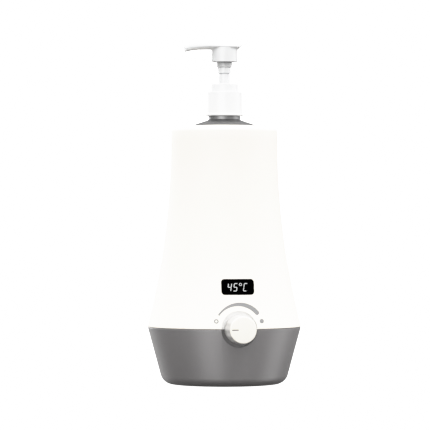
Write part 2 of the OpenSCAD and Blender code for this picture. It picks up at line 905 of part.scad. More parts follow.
// A wire of the spring: rings of points along a helix, closed at both ends
module return_spring() {
    sides = 6;
    steps = 12;
    rings = spring_turns * steps;
    rise = spring_rest_l - spring_wire - 2 * run_fit;
    points = [
        for (i = [0 : rings], j = [0 : sides - 1])
            let (
                turn = 360 * i / steps,
                tilt = 360 * j / sides,
                reach = spring_r + spring_wire / 2 * cos(tilt)
            )
            [reach * cos(turn), reach * sin(turn),
                chamber_floor_z + run_fit + spring_wire / 2 * (1 + sin(tilt)) + rise * i / rings]
    ];
    echo(spring_gap = rise / spring_turns - spring_wire);
    color("silver") polyhedron(points, tube_faces(sides, rings), convexity = 10);
}

module screw_collar() {
    color("white") rotate_extrude() difference() {
        union() {
            polygon(concat(
                [[0, collar_z], [collar_r, collar_z]],
                arc([collar_r - 0.5, collar_top_z - 0.5], 0.5, 0, 90),
                [[0, collar_top_z]]
            ));
            translate([0, collar_z]) square([collar_r + collar_lip, collar_lip_h]);
        }
        translate([0, collar_z - past]) square([collar_bore_r, collar_h - collar_top_t + past]);
        translate([0, collar_z]) square([chaplet_r + free_gap, collar_h + past]);
    }
}

module pump_stem() {
    color("white") rotate_extrude() difference() {
        union() {
            translate([0, piston_top_z - piston_socket])
                square([stem_r, stem_shoulder_z - piston_top_z + piston_socket]);
            translate([0, stem_shoulder_z]) square([stem_shoulder_r, stem_shoulder_h - run_fit]);
            translate([0, plug_z - past]) square([stem_pin_r, head_socket_h + past - free_gap]);
        }
        translate([0, piston_z]) square([duct_r, head_z]);
    }
}

module piston() {
    color("gray") rotate_extrude() difference() {
        union() {
            translate([0, piston_z]) square([piston_r, piston_lip]);
            translate([0, piston_z]) square([piston_r - piston_waist, piston_h]);
            translate([0, piston_top_z - piston_lip]) square([piston_r, piston_lip]);
        }
        translate([0, piston_z - past]) square([duct_r, 2 * piston_h]);
        translate([0, piston_top_z - piston_socket - run_fit]) square([stem_r + run_fit, piston_h]);
    }
}

// The head's side view: over the spout from its tip to the overhang at the back, and under it again
module head_side() {
    tip = [-spout_reach, spout_tip_h];
    foot = [-spout_reach + spout_nose, spout_foot_h];
    back = head_r + deck_overhang;
    polygon(concat(
        curve(tip, [-spout_bend_x, spout_top_h], [-spout_rise_x, spout_top_h], [0, deck_h], curve_steps),
        [[back, deck_h - back_h / 2], [back, deck_h - back_h], [head_r, head_h]],
        curve([-head_r, head_h], [-2 * head_r, head_h], [-spout_bend_x, head_h], foot, curve_steps)
    ));
}

// The head's outline from above, from the spout's tip to the round back
module head_plan() {
    back = head_r + deck_overhang;
    half_tip = spout_tip_w / 2;
    half_root = spout_root_w / 2;
    polygon(concat(
        [[-spout_reach, half_tip - spout_nose], [-spout_reach, spout_nose - half_tip]],
        [[-spout_reach + spout_nose, -half_tip], [-head_r, -half_root]],
        arc([back - deck_half_w, 0], deck_half_w, -deck_turn, deck_turn),
        [[-head_r, half_root], [-spout_reach + spout_nose, half_tip]]
    ));
}

module pump_head() {
    color("white") translate([0, 0, head_z]) difference() {
        union() {
            cylinder(r1 = head_foot_r, r2 = head_r, h = head_h);
            translate([0, 0, head_h - past]) cylinder(r = head_r, h = deck_h - back_h - head_h + past);
            intersection() {
                rotate([90, 0, 0]) linear_extrude(3 * head_d, center = true) head_side();
                linear_extrude(2 * deck_h) head_plan();
            }
            translate([0, 0, -plug_h]) cylinder(r1 = plug_foot_r, r2 = plug_r, h = plug_h);
        }
        difference() {
            translate([0, 0, -past]) cylinder(r = head_foot_r - head_skirt_t, h = head_skirt_well + past);
            translate([0, 0, -past]) cylinder(r = plug_r, h = head_skirt_well + 2 * past);
        }
        translate([0, 0, -plug_h - past]) cylinder(r = stem_pin_r + run_fit, h = head_socket_h + past);
        translate([0, 0, -past]) cylinder(r = duct_r, h = spout_bore_z + past);
        spout_channel();
    }
}

// The channel along the deck, which dips to the middle of the spout's tip
module spout_channel() {
    translate([0, 0, spout_bore_z]) rotate([0, -90, 0])
        cylinder(r = channel_r, h = spout_turn_x + spout_lap);
    translate([-spout_turn_x, 0, spout_bore_z]) rotate([0, -90 - spout_dip, 0])
        cylinder(r = spout_bore / 2, h = spout_reach - spout_turn_x + spout_bore);
}

foot_ring();
bottom_plate();
plate_screws();
base_shell();
body_shell();
cord_gland();
heating_cup();
cup_seal();
bottle_pad();
heater_band();
foam_sleeve();
temperature_probe();
thermal_cutoff();
heater_leads();
probe_lead();
cutoff_lead();
control_leads();
control_board();
board_relay();
board_screws();
display_module();
display_lens();
control_body();
control_nut();
control_shaft();
knob();
knob_pointer();
bottle();
neck_gasket();
pump_chamber();
chaplet();
dip_tube();
check_ball();
return_spring();
screw_collar();
pump_stem();
piston();
pump_head();
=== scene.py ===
"""Dresses a massage oil warmer: a white heated body on a grey base, a metal bottle and a lotion pump."""
import logging
import math
from dataclasses import dataclass
from enum import Enum
from typing import Callable, Iterable, Optional, Sequence, Union

import bmesh
import bpy
from bmesh.types import BMEdge, BMesh, BMVert
from bpy.types import Material, Node, NodeSocket, Object, World
from mathutils import Matrix, Vector


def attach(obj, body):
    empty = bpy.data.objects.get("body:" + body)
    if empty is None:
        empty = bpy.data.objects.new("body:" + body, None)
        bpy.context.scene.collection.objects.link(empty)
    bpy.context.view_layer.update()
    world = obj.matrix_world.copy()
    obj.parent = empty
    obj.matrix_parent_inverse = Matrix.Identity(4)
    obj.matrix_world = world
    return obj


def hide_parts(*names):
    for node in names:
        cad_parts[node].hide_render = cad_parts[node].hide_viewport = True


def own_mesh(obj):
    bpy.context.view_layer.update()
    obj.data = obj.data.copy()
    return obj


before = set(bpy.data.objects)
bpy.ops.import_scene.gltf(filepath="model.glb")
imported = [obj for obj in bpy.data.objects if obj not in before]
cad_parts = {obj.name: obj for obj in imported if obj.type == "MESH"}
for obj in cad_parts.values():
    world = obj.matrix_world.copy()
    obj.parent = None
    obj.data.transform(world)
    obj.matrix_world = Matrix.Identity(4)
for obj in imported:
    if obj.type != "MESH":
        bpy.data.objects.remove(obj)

LOG = logging.getLogger("warmer")
MM = 0.001
FULL_TURN = 2 * math.pi
TURN_STEPS = 180
TOOL_STEPS = 96
SMALL_STEPS = 48
FILLET_STEPS = 6
ROUND_STEPS = 24
HALVINGS = 40
WELD = 1e-6
CREASE = math.radians(32.0)
NOISE_ROUGHNESS = 0.6
NOISE_MEAN = 0.5
MIX_FACTOR, MIX_FIRST, MIX_SECOND, MIX_COLOUR = 0, 6, 7, 2
COMBINED_CURVE = 3

Pair = tuple[float, float]
Triple = tuple[float, float, float]
Value = Union["Sock", float, int, tuple]


class Cut(Enum):
    """What a tool does to the piece that it meets."""

    TAKE_AWAY = "DIFFERENCE"
    KEEP_COMMON = "INTERSECT"
    JOIN = "UNION"


class Rounded(Enum):
    """What a bevel rounds."""

    CORNERS = "VERTICES"
    EDGES = "EDGES"


class Facing(Enum):
    """Which way the axis of a turned part points, as a turn about X in degrees."""

    FRONT = 90.0
    BACK = -90.0

    def matrix(self, at: Sequence[float]) -> Matrix:
        """Return the turn from the upright axis, with the part's foot moved to a point."""
        return Matrix.Translation(at) @ Matrix.Rotation(math.radians(self.value), 4, "X")


class Axis(Enum):
    """An axis of the part: a point on it, what lies across it, and the coordinate along it."""

    KNOB = ((0.0, 0.0, 52 * MM), (1.0, 0.0, 1.0), "Y")
    UPRIGHT = ((0.0, 0.0, 0.0), (1.0, 1.0, 0.0), "Z")

    def __init__(self, through: Triple, across: Triple, along: str) -> None:
        """Name the three values.

        Args:
            through: a point on the axis, in metres.
            across: 1 for a coordinate that lies across the axis and 0 for the one along it.
            along: the name of the coordinate that runs along the axis.
        """
        self.through = through
        self.across = across
        self.along = along


class Detail(Enum):
    """How finely a noise is broken up."""

    SMOOTH = 2.0
    SOFT = 3.0
    CLOUDY = 4.0
    BROKEN = 5.0
    DUSTY = 6.0


class Lights(Enum):
    """Which part of a surface a soft box acts on."""

    GLOSS = "glossy"
    MATTE = "diffuse"


class Segment(Enum):
    """The strokes of a seven-segment figure, as two corners of a cell one wide and two high."""

    TOP = ((0, 2), (1, 2))
    UPPER_LEFT = ((0, 2), (0, 1))
    UPPER_RIGHT = ((1, 2), (1, 1))
    MIDDLE = ((0, 1), (1, 1))
    LOWER_LEFT = ((0, 1), (0, 0))
    LOWER_RIGHT = ((1, 1), (1, 0))
    BOTTOM = ((0, 0), (1, 0))


FOUR = (Segment.UPPER_LEFT, Segment.UPPER_RIGHT, Segment.MIDDLE, Segment.LOWER_RIGHT)
FIVE = (Segment.TOP, Segment.UPPER_LEFT, Segment.MIDDLE, Segment.LOWER_RIGHT, Segment.BOTTOM)
CELSIUS = (Segment.TOP, Segment.UPPER_LEFT, Segment.LOWER_LEFT, Segment.BOTTOM)


class Sock:
    """A shader socket that takes part in Python arithmetic: each operator adds one Math node."""

    def __init__(self, tree: "ShaderTree", link: Optional[NodeSocket]) -> None:
        """Keep the socket and the tree that it belongs to."""
        self.tree = tree
        self.link = link

    def maths(self, operation: str, first: Value, second: Value) -> "Sock":
        """Add a Math node for two values and return its result."""
        return self.tree.node("ShaderNodeMath", {"operation": operation}, {0: first, 1: second})

    def __add__(self, other: Value) -> "Sock":
        """Return self + other."""
        return self.maths("ADD", self, other)

    def __radd__(self, other: Value) -> "Sock":
        """Return other + self."""
        return self.maths("ADD", other, self)

    def __sub__(self, other: Value) -> "Sock":
        """Return self - other."""
        return self.maths("SUBTRACT", self, other)

    def __rsub__(self, other: Value) -> "Sock":
        """Return other - self."""
        return self.maths("SUBTRACT", other, self)

    def __mul__(self, other: Value) -> "Sock":
        """Return self times other."""
        return self.maths("MULTIPLY", self, other)

    def __rmul__(self, other: Value) -> "Sock":
        """Return other times self."""
        return self.maths("MULTIPLY", other, self)

    def above(self, level: Value) -> "Sock":
        """Return 1 where self is over a level and 0 elsewhere."""
        return self.maths("GREATER_THAN", self, level)


class ShaderTree:
    """The node tree of a material or the world, filled through one method that adds a node."""

    def __init__(self, owner: Union[Material, World]) -> None:
        """Empty the owner's tree.

        Args:
            owner: the material or world that the tree belongs to.
        """
        owner.use_nodes = True
        self.tree = owner.node_tree
        self.tree.nodes.clear()

    def node(
        self,
        kind: str,
        settings: Optional[dict[str, object]] = None,
        inputs: Optional[dict[Union[str, int], Value]] = None,
        output: Union[str, int] = 0,
    ) -> Sock:
        """Add a node.

        Args:
            kind: the node's type name.
            settings: attributes of the node, set first; "stops" are a ramp's (place, colour) pairs.
            inputs: values or sockets for its inputs, by name or index.
            output: the output to return.

        Returns:
            The chosen output.
        """
        made = self.tree.nodes.new(kind)
        for key, value in (settings or {}).items():
            if key == "stops":
                self._set_stops(made, value)
            else:
                setattr(made, key, value)
        for key, value in (inputs or {}).items():
            if isinstance(value, Sock):
                self.tree.links.new(value.link, made.inputs[key])
            else:
                made.inputs[key].default_value = value
        return Sock(self, made.outputs[output] if made.outputs else None)

    @staticmethod
    def _set_stops(ramp: Node, stops: Sequence[tuple[float, Triple]]) -> None:
        """Give a colour ramp its stops, in order.

        Args:
            ramp: the ramp's node.
            stops: the place, from 0 to 1, and the colour of each stop.
        """
        elements = ramp.color_ramp.elements
        while len(elements) < len(stops):
            elements.new(1.0)
        for element, (place, colour) in zip(elements, stops):
            element.position = place
            element.color = rgba(colour)

    def place(self) -> Sock:
        """Return the Object coordinates, which are metres in the part's own frame."""
        return self.node("ShaderNodeTexCoord", output="Object")

    def coordinate(self, where: Sock, name: str) -> Sock:
        """Return one coordinate of a place."""
        return self.node("ShaderNodeSeparateXYZ", {}, {"Vector": where}, name)

    def vector(self, operation: str, first: Value, second: Value) -> Sock:
        """Add a Vector Math node for two vectors and return its result."""
        return self.node("ShaderNodeVectorMath", {"operation": operation}, {0: first, 1: second})

    def off_axis(self, where: Sock, axis: Axis) -> Sock:
        """Return how far a place is from an axis."""
        ray = self.vector("MULTIPLY", self.vector("SUBTRACT", where, axis.through), axis.across)
        return self.node("ShaderNodeVectorMath", {"operation": "LENGTH"}, {0: ray}, "Value")

    def noise(self, where: Sock, size: float, detail: Detail) -> Sock:
        """Return cloudy noise from 0 to 1 with features of about a size in metres."""
        inputs = {"Vector": where, "Scale": 1.0 / size, "Detail": detail.value, "Roughness": NOISE_ROUGHNESS}
        return self.node("ShaderNodeTexNoise", {}, inputs, "Fac")

    def cells(self, size: float, output: str) -> Sock:
        """Return an output of a pattern of cells of about a size in metres."""
        return self.node("ShaderNodeTexVoronoi", {}, {"Vector": self.place(), "Scale": 1.0 / size}, output)

    def blend(self, factor: Value, first: Union[Triple, Sock], second: Union[Triple, Sock]) -> Sock:
        """Mix two colours.

        Args:
            factor: how much of the second colour shows, from 0 to 1.
            first: the colour at 0.
            second: the colour at 1.

        Returns:
            The colour between the two.
        """
        ends = [colour if isinstance(colour, Sock) else rgba(colour) for colour in (first, second)]
        inputs = {MIX_FACTOR: factor, MIX_FIRST: ends[0], MIX_SECOND: ends[1]}
        return self.node("ShaderNodeMix", {"data_type": "RGBA"}, inputs, MIX_COLOUR)

    def bump(self, height: Sock, depth: float) -> Sock:
        """Return a normal that follows a height from 0 to 1 over a depth in metres."""
        return self.node("ShaderNodeBump", {}, {"Strength": 1.0, "Distance": depth, "Height": height})

    def principled(self, **inputs: Value) -> Sock:
        """Return a Principled shader; an input's name has its spaces written as underscores."""
        named = {key.replace("_", " "): value for key, value in inputs.items()}
        return self.node("ShaderNodeBsdfPrincipled", {}, named)

    def rings(self, pitch: float) -> Sock:
        """Return fine turning marks about the upright axis.

        Args:
            pitch: how far apart the marks are, in metres.

        Returns:
            A height from 0 to 1.
        """
        where = self.place()
        reach = self.off_axis(where, Axis.UPRIGHT)
        height = self.coordinate(where, Axis.UPRIGHT.along)
        section = self.node("ShaderNodeCombineXYZ", {}, {"X": reach, "Y": height})
        return self.noise(section, pitch, Detail.CLOUDY)


def rgba(colour: Sequence[float]) -> tuple[float, float, float, float]:
    """Return a colour with full alpha."""
    return (colour[0], colour[1], colour[2], 1.0)


def tinted(colour: Triple, tint: Triple) -> Triple:
    """Return a colour with each channel times a tint's."""
    return (colour[0] * tint[0], colour[1] * tint[1], colour[2] * tint[2])


def shaded(colour: Triple, share: float) -> Triple:
    """Return a colour made lighter or darker by a share."""
    return tinted(colour, (share, share, share))


@dataclass(frozen=True)
class Finish:
    """What every finish has: a name, a linear colour and a mean roughness."""

    name: str
    colour: Triple
    roughness: float

    def material(self) -> Material:
        """Make the finish on its first use.

        Returns:
            The finish as a material.
        """
        found = bpy.data.materials.get(self.name)
        if found is None:
            found = bpy.data.materials.new(self.name)
            tree = ShaderTree(found)
            tree.node("ShaderNodeOutputMaterial", {}, {"Surface": self.surface(tree)})
            found.diffuse_color = rgba(self.colour)
        return found

    def surface(self, tree: ShaderTree) -> Sock:
        """Return the shader of the finish; each kind of finish gives its own."""
        raise NotImplementedError

    def rougher(self, pattern: Sock, share: float) -> Sock:
        """Return the roughness with a share of a pattern added about its mean."""
        return self.roughness + (pattern - NOISE_MEAN) * share


@dataclass(frozen=True)
class MouldedPlastic(Finish):
    """Injection-moulded plastic: a fine spark-eroded grain, faint flow clouds and handling marks."""

    grain: float = 0.25 * MM
    grain_depth: float = 0.012 * MM
    cloud: float = 24 * MM
    mark: float = 6 * MM
    spread: float = 0.02
    patches: float = 0.08
    coat: float = 0.0
    coat_roughness: float = 0.12
    specular: float = 0.5
    glow_through: float = 0.0
    glow_depth: float = 1.5 * MM

    def surface(self, tree: ShaderTree) -> Sock:
        """Add plastic whose colour, gloss and height vary a little.

        Args:
            tree: the material's tree.

        Returns:
            The shader.
        """
        where = tree.place()
        grain = tree.noise(where, self.grain, Detail.SMOOTH)
        cloud = tree.noise(where, self.cloud, Detail.CLOUDY)
        handled = tree.noise(where, self.mark, Detail.BROKEN)
        low, high = shaded(self.colour, 1 - self.spread), shaded(self.colour, 1 + self.spread)
        return tree.principled(
            Base_Color=self.tint(tree, tree.blend(cloud, low, high)),
            Roughness=self.rougher(handled, self.patches) + (grain - NOISE_MEAN) * self.patches,
            Normal=tree.bump(grain, self.grain_depth),
            Coat_Weight=self.coat,
            Coat_Roughness=self.coat_roughness,
            Specular_IOR_Level=self.specular,
            Subsurface_Weight=self.glow_through,
            Subsurface_Scale=self.glow_depth,
        )

    def tint(self, tree: ShaderTree, plain: Sock) -> Sock:
        """Return the colour as it shows, which is plain all over here."""
        return plain


@dataclass(frozen=True)
class ShadePaintedPlastic(MouldedPlastic):
    """Moulded plastic with painted shade on a round length of an axis: a recess, a knob's side or a plug
    under an overhang is toned as if shaded.
    """

    painted_shade_tone: Triple = (0.8, 0.8, 0.8)
    painted_shade_r: float = 16.02 * MM
    painted_shade_span: Pair = (-80 * MM, -50 * MM)
    painted_shade_axis: Axis = Axis.KNOB

    def tint(self, tree: ShaderTree, plain: Sock) -> Sock:
        """Paint the shade over the round length of the axis.

        Args:
            tree: the material's tree.
            plain: the colour outside the painted shade.

        Returns:
            The colour as it shows.
        """
        where = tree.place()
        depth = tree.coordinate(where, self.painted_shade_axis.along)
        first, last = self.painted_shade_span
        # The toned length of the axis is painted shade, not a colour of the part.
        inside = 1 - tree.off_axis(where, self.painted_shade_axis).above(self.painted_shade_r)
        painted_shade = inside * depth.above(first) * (1 - depth.above(last))
        return tree.blend(painted_shade, plain, tree.vector("MULTIPLY", plain, self.painted_shade_tone))


@dataclass(frozen=True)
class TurnedMetal(Finish):
    """Spun or lathe-turned metal: fine rings about the axis, broken up by soft smears."""

    pitch: float = 0.35 * MM
    ring_depth: float = 0.006 * MM
    ring_share: float = 0.6
    ring_gloss: float = 0.12
    smear: float = 14 * MM
    smear_gloss: float = 0.1
    spread: float = 0.06

    def surface(self, tree: ShaderTree) -> Sock:
        """Add metal whose gloss follows its turning marks.

        Args:
            tree: the material's tree.

        Returns:
            The shader.
        """
        rings = tree.rings(self.pitch)
        smear = tree.noise(tree.place(), self.smear, Detail.CLOUDY)
        low, high = shaded(self.colour, 1 - self.spread), shaded(self.colour, 1 + self.spread)
        return tree.principled(
            Base_Color=tree.blend(rings * self.ring_share + smear * (1 - self.ring_share), low, high),
            Metallic=1.0,
            Roughness=self.rougher(rings, self.ring_gloss) + (smear - NOISE_MEAN) * self.smear_gloss,
            Normal=tree.bump(rings, self.ring_depth),
        )


@dataclass(frozen=True)
class PlatedSteel(Finish):
    """Zinc-plated steel: cloudy crystals with a faint yellow cast."""

    crystal: float = 1.2 * MM
    dull: float = 0.85
    cast: Triple = (1.0, 0.97, 0.88)
    spangle_gloss: float = 0.15

    def surface(self, tree: ShaderTree) -> Sock:
        """Add plated metal with a spangled colour and gloss.

        Args:
            tree: the material's tree.

        Returns:
            The shader.
        """
        spangle = tree.cells(self.crystal, "Color")
        shade = tree.node("ShaderNodeSeparateColor", {}, {"Color": spangle}, "Red")
        return tree.principled(
            Base_Color=tree.blend(shade, shaded(self.colour, self.dull), tinted(self.colour, self.cast)),
            Metallic=1.0,
            Roughness=self.rougher(shade, self.spangle_gloss),
        )


@dataclass(frozen=True)
class SmokedLens(Finish):
    """A glossy black display window with a faint film of finger marks."""

    film: float = 5 * MM
    film_tones: Pair = (0.8, 1.3)
    film_gloss: float = 0.1

    def surface(self, tree: ShaderTree) -> Sock:
        """Add black gloss that a film dulls in places.

        Args:
            tree: the material's tree.

        Returns:
            The shader.
        """
        film = tree.noise(tree.place(), self.film, Detail.BROKEN)
        low, high = (shaded(self.colour, tone) for tone in self.film_tones)
        return tree.principled(
            Base_Color=tree.blend(film, low, high),
            Roughness=self.roughness + film * self.film_gloss,
            Specular_IOR_Level=0.0,
        )


@dataclass(frozen=True)
class LitFigure(Finish):
    """A lit display stroke that glows a little unevenly."""

    strength: float = 1.0
    unlit: float = 0.1
    patch: float = 1.2 * MM
    dimmest: float = 0.85

    def surface(self, tree: ShaderTree) -> Sock:
        """Add a glow with a soft unevenness.

        Args:
            tree: the material's tree.

        Returns:
            The shader.
        """
        patch = tree.noise(tree.place(), self.patch, Detail.SMOOTH)
        return tree.principled(
            Base_Color=rgba(shaded(self.colour, self.unlit)),
            Roughness=self.roughness,
            Emission_Color=tree.blend(patch, shaded(self.colour, self.dimmest), self.colour),
            Emission_Strength=self.strength,
        )


@dataclass(frozen=True)
class PrintedInk(Finish):
    """Pad-printed ink: a thin film with a speckled tone."""

    speck: float = 0.4 * MM
    spread: float = 0.08
    speck_gloss: float = 0.1

    def surface(self, tree: ShaderTree) -> Sock:
        """Add ink with a speckled tone.

        Args:
            tree: the material's tree.

        Returns:
            The shader.
        """
        speck = tree.noise(tree.place(), self.speck, Detail.SOFT)
        low, high = shaded(self.colour, 1 - self.spread), shaded(self.colour, 1 + self.spread)
        return tree.principled(
            Base_Color=tree.blend(speck, low, high),
            Roughness=self.rougher(speck, self.speck_gloss),
        )


@dataclass(frozen=True)
class SoftRubber(Finish):
    """Silicone or rubber: dull, with a dusty bloom."""

    bloom: float = 3 * MM
    bloom_tone: float = 1.5
    bloom_gloss: float = 0.15
    skin: float = 0.2 * MM
    skin_depth: float = 0.02 * MM
    specular: float = 0.35

    def surface(self, tree: ShaderTree) -> Sock:
        """Add a dull shader with a paler bloom.

        Args:
            tree: the material's tree.

        Returns:
            The shader.
        """
        where = tree.place()
        dust = tree.noise(where, self.bloom, Detail.DUSTY)
        skin = tree.noise(where, self.skin, Detail.SMOOTH)
        return tree.principled(
            Base_Color=tree.blend(dust * dust, self.colour, shaded(self.colour, self.bloom_tone)),
            Roughness=self.rougher(dust, self.bloom_gloss),
            Normal=tree.bump(skin, self.skin_depth),
            Specular_IOR_Level=self.specular,
        )


@dataclass(frozen=True)
class CellFoam(Finish):
    """Closed-cell foam: a skin of small bubbles."""

    cell: float = 0.9 * MM
    cell_tones: Pair = (1.05, 0.75)
    pit: float = 0.15 * MM
    specular: float = 0.2

    def surface(self, tree: ShaderTree) -> Sock:
        """Add a dull shader pitted by cells.

        Args:
            tree: the material's tree.

        Returns:
            The shader.
        """
        cells = tree.cells(self.cell, "Distance")
        middle, rim = (shaded(self.colour, tone) for tone in self.cell_tones)
        return tree.principled(
            Base_Color=tree.blend(cells, middle, rim),
            Roughness=self.roughness,
            Normal=tree.bump(1.0 - cells, self.pit),
            Specular_IOR_Level=self.specular,
        )


@dataclass(frozen=True)
class CircuitBoard(Finish):
    """Solder mask over copper: lighter tracks in a brick-like layout."""

    block: float = 9.6 * MM
    track: float = 0.03
    track_tone: float = 2.2
    track_depth: float = 0.04 * MM
    lacquer: float = 0.4

    def surface(self, tree: ShaderTree) -> Sock:
        """Add a board with tracks under its lacquer.

        Args:
            tree: the material's tree.

        Returns:
            The shader.
        """
        turned = tree.node("ShaderNodeMapping", {}, {"Vector": tree.place(), "Rotation": (math.pi / 2, 0, 0)})
        inputs = {"Vector": turned, "Scale": 1.0 / self.block, "Mortar Size": self.track}
        tracks = tree.node("ShaderNodeTexBrick", {}, inputs, "Fac")
        return tree.principled(
            Base_Color=tree.blend(tracks, self.colour, shaded(self.colour, self.track_tone)),
            Roughness=self.roughness,
            Normal=tree.bump(tracks, self.track_depth),
            Coat_Weight=self.lacquer,
        )


@dataclass(frozen=True)
class FloorPaint(Finish):
    """The pale floor: faintly clouded, and bright by itself so that it shows almost white."""

    cloud: float = 0.8
    paler: Triple = (0.31, 0.31, 0.31)
    glow: float = 1.4

    def surface(self, tree: ShaderTree) -> Sock:
        """Add a matte shader that glows.

        Args:
            tree: the material's tree.

        Returns:
            The shader.
        """
        cloud = tree.noise(tree.place(), self.cloud, Detail.SMOOTH)
        return tree.principled(
            Base_Color=tree.blend(cloud, self.colour, self.paler),
            Roughness=self.roughness,
            Specular_IOR_Level=0.0,
            Emission_Color=rgba((1.0, 1.0, 1.0)),
            Emission_Strength=self.glow,
        )


# The recess round the knob is painted a bluer tone to take the warm cast out of its shade: a painted shade
# tint.
WHITE_SHELL = ShadePaintedPlastic(
    "satin_white_shell", (0.935, 0.89, 0.8), 0.58, specular=0.3, painted_shade_tone=(1.0, 1.045, 1.15),
)
# The recess round the knob is painted darker: painted shade where the knob shadows the dish.
GREY_SHELL = ShadePaintedPlastic(
    "satin_grey_shell", (0.152, 0.1445, 0.1455), 0.42, patches=0.06, specular=1.0, painted_shade_tone=(0.6, 0.6, 0.6),
)
# The knob's fluted side behind its face is painted darker than the face: painted shade.
WHITE_KNOB = ShadePaintedPlastic(
    "satin_white_knob", (0.9, 0.865, 0.785), 0.5, specular=0.35,
    painted_shade_tone=(0.64, 0.655, 0.7), painted_shade_span=(-83.2 * MM, -50 * MM),
)
# The lock plug under the drum is painted darker: painted shade under the drum's overhang.
WHITE_PUMP = ShadePaintedPlastic(
    "glossy_white_pump", (0.77, 0.775, 0.78), 0.3, patches=0.05, grain_depth=0.004 * MM, specular=0.6,
    painted_shade_tone=(0.78, 0.78, 0.78), painted_shade_r=7.4 * MM, painted_shade_span=(284.82 * MM, 289.7 * MM),
    painted_shade_axis=Axis.UPRIGHT,
)
NATURAL_PLASTIC = MouldedPlastic("milky_natural_plastic", (0.72, 0.72, 0.68), 0.3, glow_through=0.3)
BLACK_PLASTIC = MouldedPlastic("matte_black_plastic", (0.018, 0.018, 0.02), 0.5, spread=0.1)
BLUE_RELAY = MouldedPlastic("blue_relay_case", (0.02, 0.09, 0.33), 0.35, spread=0.05)
IVORY_CERAMIC = MouldedPlastic("ivory_ceramic", (0.62, 0.55, 0.42), 0.3, spread=0.06, coat=0.5)
AMBER_HEATER = MouldedPlastic("amber_heater_film", (0.36, 0.15, 0.03), 0.25, spread=0.15, coat=0.6)
RED_WIRE = MouldedPlastic("red_wire_sleeve", (0.42, 0.03, 0.02), 0.35, spread=0.05)
YELLOW_WIRE = MouldedPlastic("yellow_wire_sleeve", (0.6, 0.42, 0.03), 0.35, spread=0.05)
BOTTLE_METAL = TurnedMetal("satin_bottle_metal", (0.24, 0.24, 0.243), 0.45)
SPUN_METAL = TurnedMetal("spun_cup_metal", (0.62, 0.62, 0.62), 0.34, pitch=0.6 * MM, ring_depth=0.012 * MM)
ZINC_STEEL = PlatedSteel("zinc_steel", (0.6, 0.6, 0.6), 0.32)
BLACK_LENS = SmokedLens("smoked_black_lens", (0.0004, 0.0004, 0.00045), 0.16)
LIT_WHITE = LitFigure("lit_white_figure", (0.74, 0.76, 0.76), 0.4)
GREY_INK = PrintedInk("grey_print_ink", (0.27, 0.27, 0.27), 0.45)
DARK_INK = PrintedInk("dark_pointer_ink", (0.17, 0.165, 0.16), 0.45)
GREY_SILICONE = SoftRubber("grey_silicone", (0.12, 0.12, 0.12), 0.6)
RED_SILICONE = SoftRubber("red_silicone", (0.33, 0.05, 0.03), 0.55)
BLACK_RUBBER = SoftRubber("black_rubber", (0.02, 0.02, 0.021), 0.55)
PALE_FOAM = CellFoam("pale_cell_foam", (0.62, 0.62, 0.58), 0.9)
GREEN_BOARD = CircuitBoard("green_circuit_board", (0.012, 0.09, 0.03), 0.3)
PALE_FLOOR = FloorPaint("pale_floor", (0.3, 0.3, 0.3), 0.8)


def corners(geometry: Iterable[object]) -> list[BMVert]:
    """Return the vertices among the things that an operator made."""
    return [thing for thing in geometry if isinstance(thing, BMVert)]


def edges_of(verts: Iterable[BMVert]) -> list[BMEdge]:
    """Return the edges that meet in some vertices, each one once and in order."""
    return list(dict.fromkeys(edge for v in verts for edge in v.link_edges))


def bevel(bm: BMesh, geometry: Sequence[object], offset: float, segments: int, what: Rounded) -> None:
    """Round corners or edges of a mesh.

    Args:
        bm: the mesh.
        geometry: the vertices or edges to round.
        offset: how far along the sides the round begins, in metres.
        segments: the number of parts of the round.
        what: whether corners or edges are rounded.
    """
    bmesh.ops.bevel(
        bm, geom=geometry, offset=offset, offset_type="OFFSET", segments=segments, profile=0.5,
        affect=what.value, material=-1,
    )


